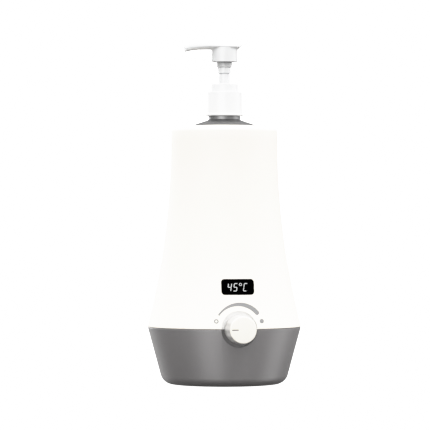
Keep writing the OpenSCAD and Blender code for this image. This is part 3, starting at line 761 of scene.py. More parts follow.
class Outline:
    """A half-section in the XZ plane, drawn corner by corner and then turned about Z."""

    def __init__(self, reach: float, height: float) -> None:
        """Start the line.

        Args:
            reach: the first corner's radius.
            height: the first corner's height.
        """
        self.bm = bmesh.new()
        self.first = self.bm.verts.new((reach, 0.0, height))
        self.last = self.first
        self.rounds: list[tuple[BMVert, float]] = []

    def to(self, reach: float, height: float, fillet: float = 0.0, parts: int = 1) -> "Outline":
        """Draw a straight line to a corner.

        Args:
            reach: the corner's radius.
            height: the corner's height.
            fillet: the radius that rounds the corner.
            parts: the number of equal parts that the line is drawn in.

        Returns:
            The outline, so that corners follow each other.
        """
        start = self.last.co.copy()
        end = Vector((reach, 0.0, height))
        for part in range(parts):
            corner = self.bm.verts.new(start.lerp(end, (part + 1) / parts))
            self.bm.edges.new((self.last, corner))
            self.last = corner
        if fillet > 0:
            self.rounds.append((self.last, fillet))
        return self

    def sweep(self, reach: float, height: float, degrees: float, steps: int) -> "Outline":
        """Draw an arc about a centre.

        Args:
            reach: the centre's radius.
            height: the centre's height.
            degrees: the angle of the arc, anticlockwise if positive.
            steps: the number of parts.

        Returns:
            The outline.
        """
        made = bmesh.ops.spin(
            self.bm, geom=[self.last], cent=(reach, 0.0, height), axis=(0, -1, 0),
            angle=math.radians(degrees), steps=steps, use_duplicate=False,
        )
        self.last = corners(made["geom_last"])[0]
        return self

    def close(self, fillet: float = 0.0) -> "Outline":
        """Draw the last side back to the start.

        Args:
            fillet: the radius that rounds the corner at the start.

        Returns:
            The outline.
        """
        self.bm.edges.new((self.last, self.first))
        if fillet > 0:
            self.rounds.append((self.first, fillet))
        return self

    def _round(self, corner: BMVert, radius: float) -> None:
        """Round one corner.

        Args:
            corner: the corner, which two sides meet in.
            radius: the radius of the round.
        """
        before, after = (edge.other_vert(corner).co - corner.co for edge in corner.link_edges)
        bend = math.pi - before.angle(after)
        bevel(self.bm, [corner], radius * math.tan(bend / 2), FILLET_STEPS, Rounded.CORNERS)

    def turned(self, steps: int = TURN_STEPS) -> BMesh:
        """Round the corners and turn the line about Z.

        Args:
            steps: the number of parts of the full turn.

        Returns:
            A surface that faces outwards.
        """
        for corner, radius in self.rounds:
            self._round(corner, radius)
        bmesh.ops.spin(
            self.bm, geom=self.bm.verts[:] + self.bm.edges[:], cent=(0, 0, 0), axis=(0, 0, 1),
            angle=FULL_TURN, steps=steps, use_merge=True, use_duplicate=False,
        )
        weld(self.bm)
        return self.bm


def weld(bm: BMesh) -> None:
    """Merge the vertices that coincide and turn every face outwards."""
    bmesh.ops.remove_doubles(bm, verts=bm.verts[:], dist=WELD)
    bmesh.ops.recalc_face_normals(bm, faces=bm.faces[:])


def crease(bm: BMesh) -> None:
    """Shade every face smooth and keep the edges that bend a lot sharp.

    Args:
        bm: the mesh.
    """
    for face in bm.faces:
        face.smooth = True
    for edge in bm.edges:
        edge.smooth = edge.calc_face_angle(math.pi) < CREASE


def as_object(bm: BMesh, name: str) -> Object:
    """Make a finished mesh an object that sits at the origin.

    Args:
        bm: the mesh, which is used up.
        name: the object's name.

    Returns:
        The object.
    """
    crease(bm)
    mesh = bpy.data.meshes.new(name)
    bm.to_mesh(mesh)
    bm.free()
    made = bpy.data.objects.new(name, mesh)
    bpy.context.scene.collection.objects.link(made)
    return made


def carve(piece: Object, tool: Object, how: Cut) -> None:
    """Cut or join a piece with a tool, which is used up.

    Args:
        piece: the piece, whose mesh is replaced.
        tool: a closed mesh.
        how: what the tool does.
    """
    step = piece.modifiers.new("carve", "BOOLEAN")
    step.operation = how.value
    step.solver = "EXACT"
    step.object = tool
    graph = bpy.context.evaluated_depsgraph_get()
    carved = bpy.data.meshes.new_from_object(piece.evaluated_get(graph), depsgraph=graph)
    piece.modifiers.clear()
    spent = [piece.data, tool.data]
    piece.data = carved
    bpy.data.objects.remove(tool)
    for mesh in spent:
        bpy.data.meshes.remove(mesh)


def tidy(piece: Object) -> Object:
    """Weld a carved piece and crease its edges again.

    Args:
        piece: the piece that is changed.

    Returns:
        The piece.
    """
    bm = bmesh.new()
    bm.from_mesh(piece.data)
    bmesh.ops.remove_doubles(bm, verts=bm.verts[:], dist=WELD)
    crease(bm)
    bm.to_mesh(piece.data)
    bm.free()
    return piece


def turn_to(bm: BMesh, facing: Facing, at: Sequence[float]) -> BMesh:
    """Turn an upright part to face a side, with its foot at a point."""
    bmesh.ops.transform(bm, matrix=facing.matrix(at), verts=bm.verts[:])
    return bm


def bar(radius: float, length: float, steps: int) -> BMesh:
    """Return a plain round bar that stands on the origin, for use as a tool."""
    return Outline(0, 0).to(radius, 0).to(radius, length).to(0, length).turned(steps)


def rod(radius: float, length: float, facing: Facing, at: Sequence[float], steps: int = TOOL_STEPS) -> Object:
    """Return a plain round tool that faces a side."""
    return as_object(turn_to(bar(radius, length, steps), facing, at), "tool")


def stroke(bm: BMesh, start: Vector, end: Vector, width: float) -> None:
    """Add a flat bar with round ends in the XZ plane.

    Args:
        bm: the mesh that it is added to.
        start: the middle of its first end.
        end: the middle of its second end.
        width: its width.
    """
    stand = Facing.FRONT.matrix(start)
    made = bmesh.ops.create_circle(bm, cap_ends=True, segments=ROUND_STEPS, radius=width / 2, matrix=stand)
    ahead = [v for v in made["verts"] if (v.co - start).dot(end - start) > 0]
    bmesh.ops.translate(bm, verts=ahead, vec=end - start)


def washer(bm: BMesh, centre: Vector, outer: float, inner: float) -> None:
    """Add a flat ring in the XZ plane.

    Args:
        bm: the mesh that it is added to.
        centre: its centre.
        outer: its outer radius.
        inner: its inner radius.
    """
    stand = Facing.FRONT.matrix(centre)
    edges: list[BMEdge] = []
    for radius in (outer, inner):
        made = bmesh.ops.create_circle(bm, segments=2 * ROUND_STEPS, radius=radius, matrix=stand)
        edges += edges_of(made["verts"])
    bmesh.ops.bridge_loops(bm, edges=edges)


def thicken(bm: BMesh, depth: float) -> None:
    """Give flat faces in the XZ plane a thickness, forwards.

    Args:
        bm: the mesh that is changed.
        depth: the thickness.
    """
    for face in bm.faces:
        if face.normal.y > 0:
            face.normal_flip()
    skin = bmesh.ops.extrude_face_region(bm, geom=bm.faces[:])
    bmesh.ops.translate(bm, verts=corners(skin["geom"]), vec=(0, -depth, 0))
    bmesh.ops.recalc_face_normals(bm, faces=bm.faces[:])


def settle(piece: Object, body: str, finish: Finish, slot: Optional[str], *nodes: str) -> Object:
    """Dress a piece, hang it on its body's empty and hide the CAD nodes that it stands for.

    Args:
        piece: the finished piece.
        body: the CAD body that it rides on.
        finish: its material.
        slot: the record's material slot, if it has one; not used.
        nodes: the CAD nodes that it stands for.

    Returns:
        The piece.
    """
    piece.data.materials.clear()
    piece.data.materials.append(finish.material())
    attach(piece, body)
    if nodes:
        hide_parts(*nodes)
    LOG.info("%s rides on %s, %d faces", piece.name, body, len(piece.data.polygons))
    return piece


@dataclass(frozen=True)
class Flare:
    """The body's outer wall: an arc that is upright at the top and spreads to the seam."""

    seam_r: float = 69 * MM
    seam_z: float = 52 * MM
    top_r: float = 48 * MM
    top_z: float = 219 * MM

    @property
    def bend(self) -> float:
        """Return the radius of the arc."""
        drop, out = self.top_z - self.seam_z, self.seam_r - self.top_r
        return (drop * drop + out * out) / (2 * out)

    def degrees(self, wall: float = 0.0) -> float:
        """Return the angle that the arc turns through, for a wall inset by a thickness."""
        return math.degrees(math.asin((self.top_z - self.seam_z) / (self.bend + wall)))

    def reach(self, height: float) -> float:
        """Return the wall's outer radius at a height."""
        drop = self.top_z - height
        return self.top_r + self.bend - math.sqrt(self.bend ** 2 - drop * drop)

    def wrap(self, bm: BMesh, lift: float) -> None:
        """Move what is drawn in the XZ plane onto the front of the wall.

        Args:
            bm: the mesh that is moved.
            lift: how far off the wall it lies.
        """
        for v in bm.verts:
            wide = self.reach(v.co.z)
            v.co.y -= math.sqrt(wide * wide - v.co.x ** 2) + lift


@dataclass(frozen=True)
class Dish:
    """The round recess that the knob sits in, across the seam of both shells."""

    centre_z: float = 52 * MM
    radius: float = 16 * MM
    floor_y: float = 63.059 * MM
    wall: float = 2.4 * MM
    bush_r: float = 3.72 * MM
    bush_past: float = 1.2 * MM
    reach: float = 20 * MM
    seam_gap: float = 0.05 * MM
    skin: float = 0.5 * MM
    steps: int = 144

    def at(self, depth: float) -> Triple:
        """Return the point on the knob's axis at a distance from the upright axis."""
        return (0.0, -depth, self.centre_z)

    def add_to(self, shell: Object, core: Object) -> None:
        """Build the recess into a shell.

        Args:
            shell: the hollow shell.
            core: the shell's filled inside, which trims the recess's block and is used up.
        """
        block = rod(self.radius + self.wall, self.reach, Facing.FRONT, self.at(self.floor_y - self.wall))
        carve(block, core, Cut.KEEP_COMMON)
        carve(shell, block, Cut.JOIN)
        hollow = rod(self.radius, self.reach, Facing.FRONT, self.at(self.floor_y), self.steps)
        carve(shell, hollow, Cut.TAKE_AWAY)
        behind = self.at(self.floor_y - self.wall - self.bush_past)
        bush = rod(self.bush_r, self.wall + 2 * self.bush_past, Facing.FRONT, behind, SMALL_STEPS)
        carve(shell, bush, Cut.TAKE_AWAY)


@dataclass
class BodyShell:
    """The white upper shell with its sloping shoulder, throat and display window."""

    flare: Flare
    dish: Dish
    wall: float = 2.4 * MM
    rim_r: float = 3 * MM
    shoulder_z: float = 232.334 * MM
    throat_r: float = 28.6 * MM
    throat_end_z: float = 204.334 * MM
    throat_wall: float = 2.2 * MM
    throat_lip: float = 0.6 * MM
    throat_edge: float = 0.3 * MM
    slope: float = 8.0
    edge: float = 0.5 * MM
    outer_steps: int = 48
    inner_steps: int = 32
    core_steps: int = 24
    window: Pair = (29.5 * MM, 14 * MM)
    window_corner: float = 3 * MM
    window_z: float = 88.9 * MM

    def outline(self) -> Outline:
        """Draw the wall, from the seam over the shoulder, down the throat and back inside.

        Returns:
            The shell's closed half-section.
        """
        flare, drop = self.flare, math.tan(math.radians(self.slope))
        in_top = flare.top_r - self.wall
        shoulder_top = self.shoulder_z + (self.throat_r - flare.top_r) * drop
        under = self.wall / math.cos(math.radians(self.slope))
        throat_out = self.throat_r + self.throat_wall
        line = Outline(flare.seam_r, flare.seam_z)
        line.sweep(flare.top_r + flare.bend, flare.top_z, -flare.degrees(), self.outer_steps)
        line.to(flare.top_r, shoulder_top, self.rim_r)
        line.to(self.throat_r, self.shoulder_z, self.throat_lip)
        line.to(self.throat_r, self.throat_end_z, self.throat_edge)
        line.to(throat_out, self.throat_end_z, self.throat_edge)
        line.to(throat_out, self.shoulder_z - under - self.throat_wall * drop)
        line.to(in_top, shoulder_top - under + self.wall * drop)
        line.to(in_top, flare.top_z)
        line.sweep(flare.top_r + flare.bend, flare.top_z, flare.degrees(self.wall), self.inner_steps)
        return line.close(self.edge)

    def core(self) -> Object:
        """Make the filled inside of the shell, a little under its skin.

        Returns:
            The core.
        """
        flare, skin = self.flare, self.dish.skin
        foot = flare.seam_z + self.dish.seam_gap
        line = Outline(0, foot).to(flare.seam_r - skin, foot)
        line.to(flare.reach(self.window_z) - skin, self.window_z, parts=self.core_steps)
        for v in line.bm.verts[2:]:
            v.co.x = flare.reach(v.co.z) - skin
        line.to(0, self.window_z)
        return as_object(line.turned(), "core")

    def window_tool(self) -> Object:
        """Make the rounded block that cuts the display window.

        Returns:
            The tool.
        """
        bm = bmesh.new()
        stand = Facing.FRONT.matrix((0, 0, self.window_z))
        stand = stand @ Matrix.Diagonal((self.window[0] / 2, self.window[1] / 2, 1, 1))
        made = bmesh.ops.create_grid(bm, x_segments=1, y_segments=1, size=1.0, matrix=stand)
        bevel(bm, made["verts"], self.window_corner, 2 * FILLET_STEPS, Rounded.CORNERS)
        bmesh.ops.translate(bm, verts=bm.verts[:], vec=(0, -self.flare.top_r, 0))
        thicken(bm, self.flare.seam_r)
        return as_object(bm, "tool")

    def build(self) -> None:
        """Make the shell, cut its recess and window, and dress it."""
        shell = as_object(self.outline().turned(), "white_body_shell")
        self.dish.add_to(shell, self.core())
        carve(shell, self.window_tool(), Cut.TAKE_AWAY)
        settle(tidy(shell), "warmer", WHITE_SHELL, "white_shell", "body_shell")


@dataclass
class BaseShell:
    """The grey lower shell with its rounded foot and the seat of the bottom plate."""

    flare: Flare
    dish: Dish
    wall: float = 2.4 * MM
    foot_r: float = 55 * MM
    foot_z: float = 0.4 * MM
    foot_edge: float = 10.5 * MM
    rim_edge: float = 1.1 * MM
    plate_r: float = 44 * MM
    plate_top: float = 3.4 * MM
    plate_edge: float = 0.2 * MM
    ledge_r: float = 36 * MM
    floor_z: float = 5.9 * MM
    gland_z: float = 22 * MM
    gland_pad_r: float = 7.5 * MM
    gland_pad_y: float = 63.295 * MM
    gland_pad_edge: float = 0.5 * MM
    gland_pad_root: float = 3.6 * MM
    gland_hole_r: float = 5.02 * MM
    gland_hole_l: float = 37.5 * MM

    @property
    def lean(self) -> float:
        """Return how far the side spreads for each unit of height."""
        return (self.flare.seam_r - self.foot_r) / (self.flare.seam_z - self.foot_z)

    def side(self, height: float, skin: float = 0.0) -> float:
        """Return the radius of the side at a height, under a skin."""
        across = skin * math.sqrt(1 + self.lean ** 2)
        return self.foot_r + (height - self.foot_z) * self.lean - across

    def outline(self) -> Outline:
        """Draw the wall, from the seam round the foot to the plate's seat and back inside.

        Returns:
            The shell's closed half-section.
        """
        top = self.flare.seam_z
        line = Outline(self.side(top), top)
        line.to(self.foot_r, self.foot_z, self.foot_edge)
        line.to(self.plate_r, self.foot_z, self.plate_edge)
        line.to(self.plate_r, self.plate_top)
        line.to(self.ledge_r, self.plate_top)
        line.to(self.ledge_r, self.floor_z)
        line.to(self.side(self.floor_z, self.wall), self.floor_z, self.foot_edge - self.wall)
        line.to(self.side(top, self.wall), top)
        return line.close(self.rim_edge)

    def core(self) -> Object:
        """Make the filled inside of the shell, a little under its skin.

        Returns:
            The core.
        """
        top, foot, skin = self.flare.seam_z - self.dish.seam_gap, 2 * self.floor_z, self.dish.skin
        line = Outline(0, foot).to(self.side(foot, skin), foot).to(self.side(top, skin), top).to(0, top)
        return as_object(line.turned(), "core")

    def build(self) -> None:
        """Make the shell, its recess and the flat boss of the cord gland, and dress it."""
        shell = as_object(self.outline().turned(), "grey_base_shell")
        self.dish.add_to(shell, self.core())
        root = self.side(self.gland_z, self.gland_pad_root)
        length = self.gland_pad_y - root
        pad = Outline(0, 0).to(self.gland_pad_r, 0).to(self.gland_pad_r, length, self.gland_pad_edge)
        pad = turn_to(pad.to(0, length).turned(TOOL_STEPS), Facing.BACK, (0, root, self.gland_z))
        carve(shell, as_object(pad, "tool"), Cut.JOIN)
        hole = rod(self.gland_hole_r, self.gland_hole_l, Facing.BACK, (0, root / 2, self.gland_z))
        carve(shell, hole, Cut.TAKE_AWAY)
        settle(tidy(shell), "warmer", GREY_SHELL, "grey_shell", "base_shell")


@dataclass
class Underside:
    """What is fitted to the base: the foot ring below it and the cord gland in its back."""

    foot_r: float = 36 * MM
    foot_w: float = 5 * MM
    foot_top: float = 1.7 * MM
    foot_edge: float = 0.6 * MM
    gland_in: float = 56.374 * MM
    gland_pad: float = 63.295 * MM
    gland_out: float = 65.295 * MM
    gland_z: float = 22 * MM
    gland_r: float = 6.5 * MM
    gland_waist_r: float = 4.9 * MM
    gland_bore_r: float = 3.3 * MM
    gland_in_edge: float = 0.4 * MM
    gland_seat_edge: float = 0.2 * MM
    gland_out_edge: float = 0.9 * MM
    gland_mouth_edge: float = 0.7 * MM
    gland_bore_edge: float = 0.3 * MM

    def foot_ring(self) -> None:
        """Make and dress the foot ring."""
        inner, outer, top = self.foot_r - self.foot_w, self.foot_r, self.foot_top
        line = Outline(inner, 0.0).to(outer, 0.0, self.foot_edge).to(outer, top).to(inner, top)
        ring = as_object(line.close(self.foot_edge).turned(), "silicone_foot_ring")
        settle(ring, "warmer", GREY_SILICONE, "grey_silicone", "foot_ring")

    def gland(self) -> None:
        """Make and dress the cord gland."""
        length, seat = self.gland_out - self.gland_in, self.gland_pad - self.gland_in
        line = Outline(self.gland_bore_r, 0.0).to(self.gland_waist_r, 0.0, self.gland_in_edge)
        line.to(self.gland_waist_r, seat).to(self.gland_r, seat, self.gland_seat_edge)
        line.to(self.gland_r, length, self.gland_out_edge)
        line.to(self.gland_bore_r, length, self.gland_mouth_edge).close(self.gland_bore_edge)
        gland = turn_to(line.turned(TOOL_STEPS), Facing.BACK, (0, self.gland_in, self.gland_z))
        settle(as_object(gland, "rubber_cord_gland"), "warmer", BLACK_RUBBER, "black_rubber", "cord_gland")

    def build(self) -> None:
        """Make both pieces."""
        self.foot_ring()
        self.gland()


@dataclass
class DialMarks:
    """The printed scale round the knob: a swelling arc, an open ring for off and a dot for full."""

    flare: Flare
    centre_z: float = 52 * MM
    radius: float = 21.7 * MM
    arc_degrees: Pair = (146.0, 41.0)
    arc_width: Pair = (1.45 * MM, 4.0 * MM)
    arc_swell: float = 0.8
    off_degrees: float = 160.8
    off_radius: float = 21.35 * MM
    full_degrees: float = 18.7
    ring: Pair = (2.02 * MM, 0.9 * MM)
    dot: Pair = (2.05 * MM, 0.05 * MM)
    film: float = 0.05 * MM
    steps: int = 240

    def spot(self, degrees: float, reach: float) -> Vector:
        """Return the point at an angle from the right-hand side and a reach from the knob's axis."""
        turn = math.radians(degrees)
        return Vector((reach * math.cos(turn), 0.0, self.centre_z + reach * math.sin(turn)))

    def width(self, degrees: float) -> float:
        """Work out the arc's width, which ends in a round cap past its thick end.

        Args:
            degrees: the angle from the right-hand side.

        Returns:
            The width there.
        """
        start, end = self.arc_degrees
        share = (start - degrees) / (start - end)
        thin, thick = self.arc_width
        if share <= 1:
            return thin + (thick - thin) * math.sin(max(0.0, share) ** self.arc_swell * math.pi / 2) ** 2
        past = math.radians(end - degrees) * self.radius / (thick / 2)
        return thick * math.sqrt(max(0.0, 1 - past * past))

    def arc(self, bm: BMesh) -> None:
        """Add the swelling arc, as a narrow band that is turned about the knob's axis and then widened.

        Args:
            bm: the mesh that it is added to.
        """
        start, end = self.arc_degrees
        cap = math.degrees(self.arc_width[1] / 2 / self.radius)
        turn = math.radians(start)
        axis = Vector((0.0, 0.0, self.centre_z))
        outward = Vector((math.cos(turn), 0.0, math.sin(turn)))
        half = self.arc_width[0] / 2
        sides = [bm.verts.new(axis + outward * (self.radius + side * half)) for side in (-1, 1)]
        seed = [*sides, bm.edges.new(sides)]
        bmesh.ops.spin(
            bm, geom=seed, cent=axis, axis=(0, 1, 0), angle=math.radians(start - end + cap),
            steps=self.steps, use_duplicate=False,
        )
        for v in bm.verts:
            ray = v.co - axis
            degrees = math.degrees(math.atan2(ray.z, ray.x))
            half = math.copysign(self.width(degrees) / 2, ray.length - self.radius)
            v.co = axis + ray.normalized() * (self.radius + half)
        bmesh.ops.remove_doubles(bm, verts=bm.verts[:], dist=WELD)

    def build(self) -> None:
        """Make the three marks and dress them."""
        off_at = self.spot(self.off_degrees, self.off_radius)
        full_at = self.spot(self.full_degrees, self.radius)
        marks: dict[str, Callable[[BMesh], None]] = {
            "dial_arc": self.arc,
            "dial_off_ring": lambda bm: washer(bm, off_at, *self.ring),
            "dial_full_dot": lambda bm: washer(bm, full_at, *self.dot),
        }
        for name, draw in marks.items():
            bm = bmesh.new()
            draw(bm)
            bmesh.ops.recalc_face_normals(bm, faces=bm.faces[:])
            self.flare.wrap(bm, 0.0)
            thicken(bm, self.film)
            settle(as_object(bm, name), "warmer", GREY_INK, "grey_print")


@dataclass
class Readout:
    """The lit temperature on the display: two figures, a degree ring and the letter C."""

    flare: Flare
    centre_z: float = 88.65 * MM
    cell_w: float = 2.8 * MM
    cell_h: float = 6.5 * MM
    line_w: float = 0.66 * MM
    gap: float = 0.12 * MM
    slant: float = math.tan(math.radians(10))
    film: float = 0.06 * MM
    lift: float = 0.03 * MM
    figures: tuple[tuple[float, tuple[Segment, ...]], ...] = (
        (-8.9 * MM, FOUR), (-3.75 * MM, FIVE), (5.2 * MM, CELSIUS),
    )
    degree_at: Pair = (2.2 * MM, 2.45 * MM)
    degree_ring: Pair = (1.3 * MM, 0.82 * MM)

    def corner(self, foot_x: float, place: tuple[int, int]) -> Vector:
        """Return a corner of a figure's cell, slanted to the right."""
        height = (place[1] - 1) * self.cell_h / 2
        return Vector((foot_x + place[0] * self.cell_w + height * self.slant, 0.0, self.centre_z + height))

    def build(self) -> None:
        """Make the strokes and dress them."""
        bm = bmesh.new()
        for foot_x, segments in self.figures:
            for segment in segments:
                start, end = (self.corner(foot_x, place) for place in segment.value)
                trim = (end - start).normalized() * (self.line_w / 2 + self.gap)
                stroke(bm, start + trim, end - trim, self.line_w)
        ring_at = Vector((self.degree_at[0], 0.0, self.centre_z + self.degree_at[1]))
        washer(bm, ring_at, *self.degree_ring)
        bmesh.ops.recalc_face_normals(bm, faces=bm.faces[:])
        self.flare.wrap(bm, self.lift)
        thicken(bm, self.film)
        settle(as_object(bm, "display_figures"), "warmer", LIT_WHITE, None)


@dataclass
class Knob:
    """The fluted knob on the control's shaft, with an inlaid pointer."""

    dish: Dish
    foot_y: float = 63.559 * MM
    length: float = 20.4 * MM
    foot_r: float = 12.7 * MM
    foot_edge: float = 0.3 * MM
    foot_rim: float = 0.02 * MM
    face_r: float = 11.8 * MM
    edge: float = 0.8 * MM
    well_r: float = 8 * MM
    well_l: float = 3.4 * MM
    shaft_r: float = 3.05 * MM
    socket_l: float = 12 * MM
    flutes: int = 12
    flute_depth: float = 0.42 * MM
    flute_half_w: float = 2.9 * MM
    flute_span: Pair = (0.6 * MM, 18.6 * MM)
    flute_run: float = 2 * MM
    side_parts: int = 16
    turn_steps: int = 240
    pointer: Pair = (4.25 * MM, 10.15 * MM)
    pointer_w: float = 0.9 * MM
    pointer_sunk: float = 0.3 * MM
    pointer_t: float = 0.33 * MM

    def flute(self, bm: BMesh) -> None:
        """Press shallow finger flutes into the sloping side.

        Args:
            bm: the upright knob.
        """
        low, high = self.flute_span
        pitch = FULL_TURN / self.flutes
        for v in bm.verts:
            reach = math.hypot(v.co.x, v.co.y)
            if reach < self.face_r - self.edge or not low < v.co.z < high:
                continue
            turn = math.atan2(v.co.y, v.co.x) % pitch - pitch / 2
            across = min(1.0, abs(turn) * reach / self.flute_half_w)
            ends = min(1.0, (v.co.z - low) / self.flute_run, (high - v.co.z) / self.flute_run)
            press = self.flute_depth * (1 - across * across) ** 2 * math.sin(ends * math.pi / 2)
            v.co.x *= 1 - press / reach
            v.co.y *= 1 - press / reach

    def grip(self) -> None:
        """Make and dress the knob."""
        line = Outline(self.shaft_r, self.socket_l).to(self.shaft_r, self.well_l).to(self.well_r, self.well_l)
        line.to(self.well_r, 0).to(self.foot_r, 0, self.foot_edge).to(self.foot_r, self.foot_rim)
        line.to(self.face_r, self.length, self.edge, parts=self.side_parts)
        bm = line.to(0, self.length).to(0, self.socket_l).close().turned(self.turn_steps)
        self.flute(bm)
        turn_to(bm, Facing.FRONT, self.dish.at(self.foot_y))
        settle(as_object(bm, "fluted_knob"), "knob", WHITE_KNOB, "white_knob", "knob")

    def inlay(self) -> None:
        """Make and dress the pointer, which stands a hair proud of the knob's face."""
        bm = bmesh.new()
        first, last = (Vector((-reach, 0.0, self.dish.centre_z)) for reach in self.pointer)
        trim = Vector((self.pointer_w / 2, 0.0, 0.0))
        stroke(bm, first - trim, last + trim, self.pointer_w)
        depth = -self.foot_y - self.length + self.pointer_sunk
        bmesh.ops.translate(bm, verts=bm.verts[:], vec=(0, depth, 0))
        thicken(bm, self.pointer_t)
        settle(as_object(bm, "knob_pointer_inlay"), "knob", DARK_INK, "grey_print", "knob_pointer")

    def build(self) -> None:
        """Make both pieces."""
        self.grip()
        self.inlay()


@dataclass
class Bottle:
    """The lift-out metal bottle with its sloping shoulder and threaded neck."""

    foot_z: float = 24.6 * MM
    radius: float = 28 * MM
    wall: float = 0.9 * MM
    edge: float = 2 * MM
    shoulder_z: float = 233.134 * MM
    shoulder_wall: float = 0.945 * MM
    root_r: float = 14.8 * MM
    root_z: float = 237.551 * MM
    root_step: float = 0.4 * MM
    root_edge: float = 0.2 * MM
    neck_r: float = 14.4 * MM
    bead_z: float = 241.0 * MM
    bead_step: float = 0.9 * MM
    bead_edge: float = 0.15 * MM
    finish_r: float = 12.8 * MM
    finish_edge: float = 0.3 * MM
    top_z: float = 257.251 * MM
    lip_edge: float = 0.4 * MM
    mouth_r: float = 11.2 * MM
    mouth_step: float = 0.3 * MM
    mouth_edge: float = 0.5 * MM
    thread_r: float = 13.75 * MM
    thread_z: float = 245.5 * MM
    thread_sunk: float = 0.2 * MM
    thread_half: Pair = (0.9 * MM, 0.3 * MM)
    thread_turns: float = 1.5
    thread_lead: float = 4.233 * MM
    thread_steps: int = 72

    def outline(self) -> Outline:
        """Draw the wall from the outside of the floor over the neck to the inside of the floor.

        Returns:
            The half-section.
        """
        inner, bore, bead_top = self.radius - self.wall, self.edge - self.wall, self.bead_z + self.bead_step
        line = Outline(0, self.foot_z).to(self.radius, self.foot_z, self.edge)
        line.to(self.radius, self.shoulder_z, self.edge).to(self.root_r, self.root_z, self.root_edge)
        line.to(self.neck_r, self.root_z + self.root_step, self.root_edge)
        line.to(self.neck_r, self.bead_z, self.bead_edge).to(self.finish_r, bead_top, self.finish_edge)
        line.to(self.finish_r, self.top_z, self.lip_edge).to(self.mouth_r, self.top_z, self.lip_edge)
        line.to(self.mouth_r, self.root_z + self.mouth_step, self.mouth_edge)
        line.to(inner, self.shoulder_z - self.shoulder_wall, bore)
        line.to(inner, self.foot_z + self.wall, bore)
        return line.to(0, self.foot_z + self.wall)

    def thread(self, bm: BMesh) -> None:
        """Add the neck's screw thread, a ridge that is turned and raised together.

        Args:
            bm: the mesh that it is added to.
        """
        root, (foot, crest) = self.finish_r - self.thread_sunk, self.thread_half
        section = ((root, -foot), (self.thread_r, -crest), (self.thread_r, crest), (root, foot))
        ridge = [bm.verts.new((reach, 0.0, self.thread_z + rise)) for reach, rise in section]
        start = bm.faces.new(ridge)
        per_step = Vector((0, 0, self.thread_lead * self.thread_turns / self.thread_steps))
        made = bmesh.ops.spin(
            bm, geom=[*ridge, *start.edges], cent=(0, 0, 0), axis=(0, 0, 1), dvec=per_step,
            angle=FULL_TURN * self.thread_turns, steps=self.thread_steps, use_duplicate=False,
        )
        bmesh.ops.contextual_create(bm, geom=corners(made["geom_last"]))

    def build(self) -> None:
        """Make and dress the bottle."""
        bm = self.outline().turned()
        self.thread(bm)
        bmesh.ops.recalc_face_normals(bm, faces=bm.faces[:])
        settle(as_object(bm, "metal_bottle"), "bottle", BOTTLE_METAL, "bottle_aluminium", "bottle")


@dataclass
class Spring:
    """The pump's return spring, which is squeezed as the head is pressed."""

    foot_z: float = 207.351 * MM
    length: float = 33 * MM
    stroke: float = 18 * MM
    radius: float = 5.7 * MM
    wire: float = 0.9 * MM
    seat: float = 0.54 * MM
    turns: int = 8
    steps: int = 36
    sides: int = 12

    def build(self) -> None:
        """Turn a round of wire up a helix, close its ends and dress it."""
        bm = bmesh.new()
        stand = Facing.FRONT.matrix((self.radius, 0, self.foot_z + self.seat))
        made = bmesh.ops.create_circle(
            bm, cap_ends=True, segments=self.sides, radius=self.wire / 2, matrix=stand,
        )
        count = self.turns * self.steps
        rise = (self.length - 2 * self.seat) / count
        rim = [*made["verts"], *edges_of(made["verts"])]
        spun = bmesh.ops.spin(
            bm, geom=rim, cent=(0, 0, 0), axis=(0, 0, 1), dvec=(0, 0, rise),
            angle=FULL_TURN * self.turns, steps=count, use_duplicate=False,
        )
        bmesh.ops.contextual_create(bm, geom=corners(spun["geom_last"]))
        bmesh.ops.recalc_face_normals(bm, faces=bm.faces[:])
        coil = as_object(bm, "return_spring_coil")
        settle(coil, "pump_core", ZINC_STEEL, "zinc_steel", "return_spring")
        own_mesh(coil)


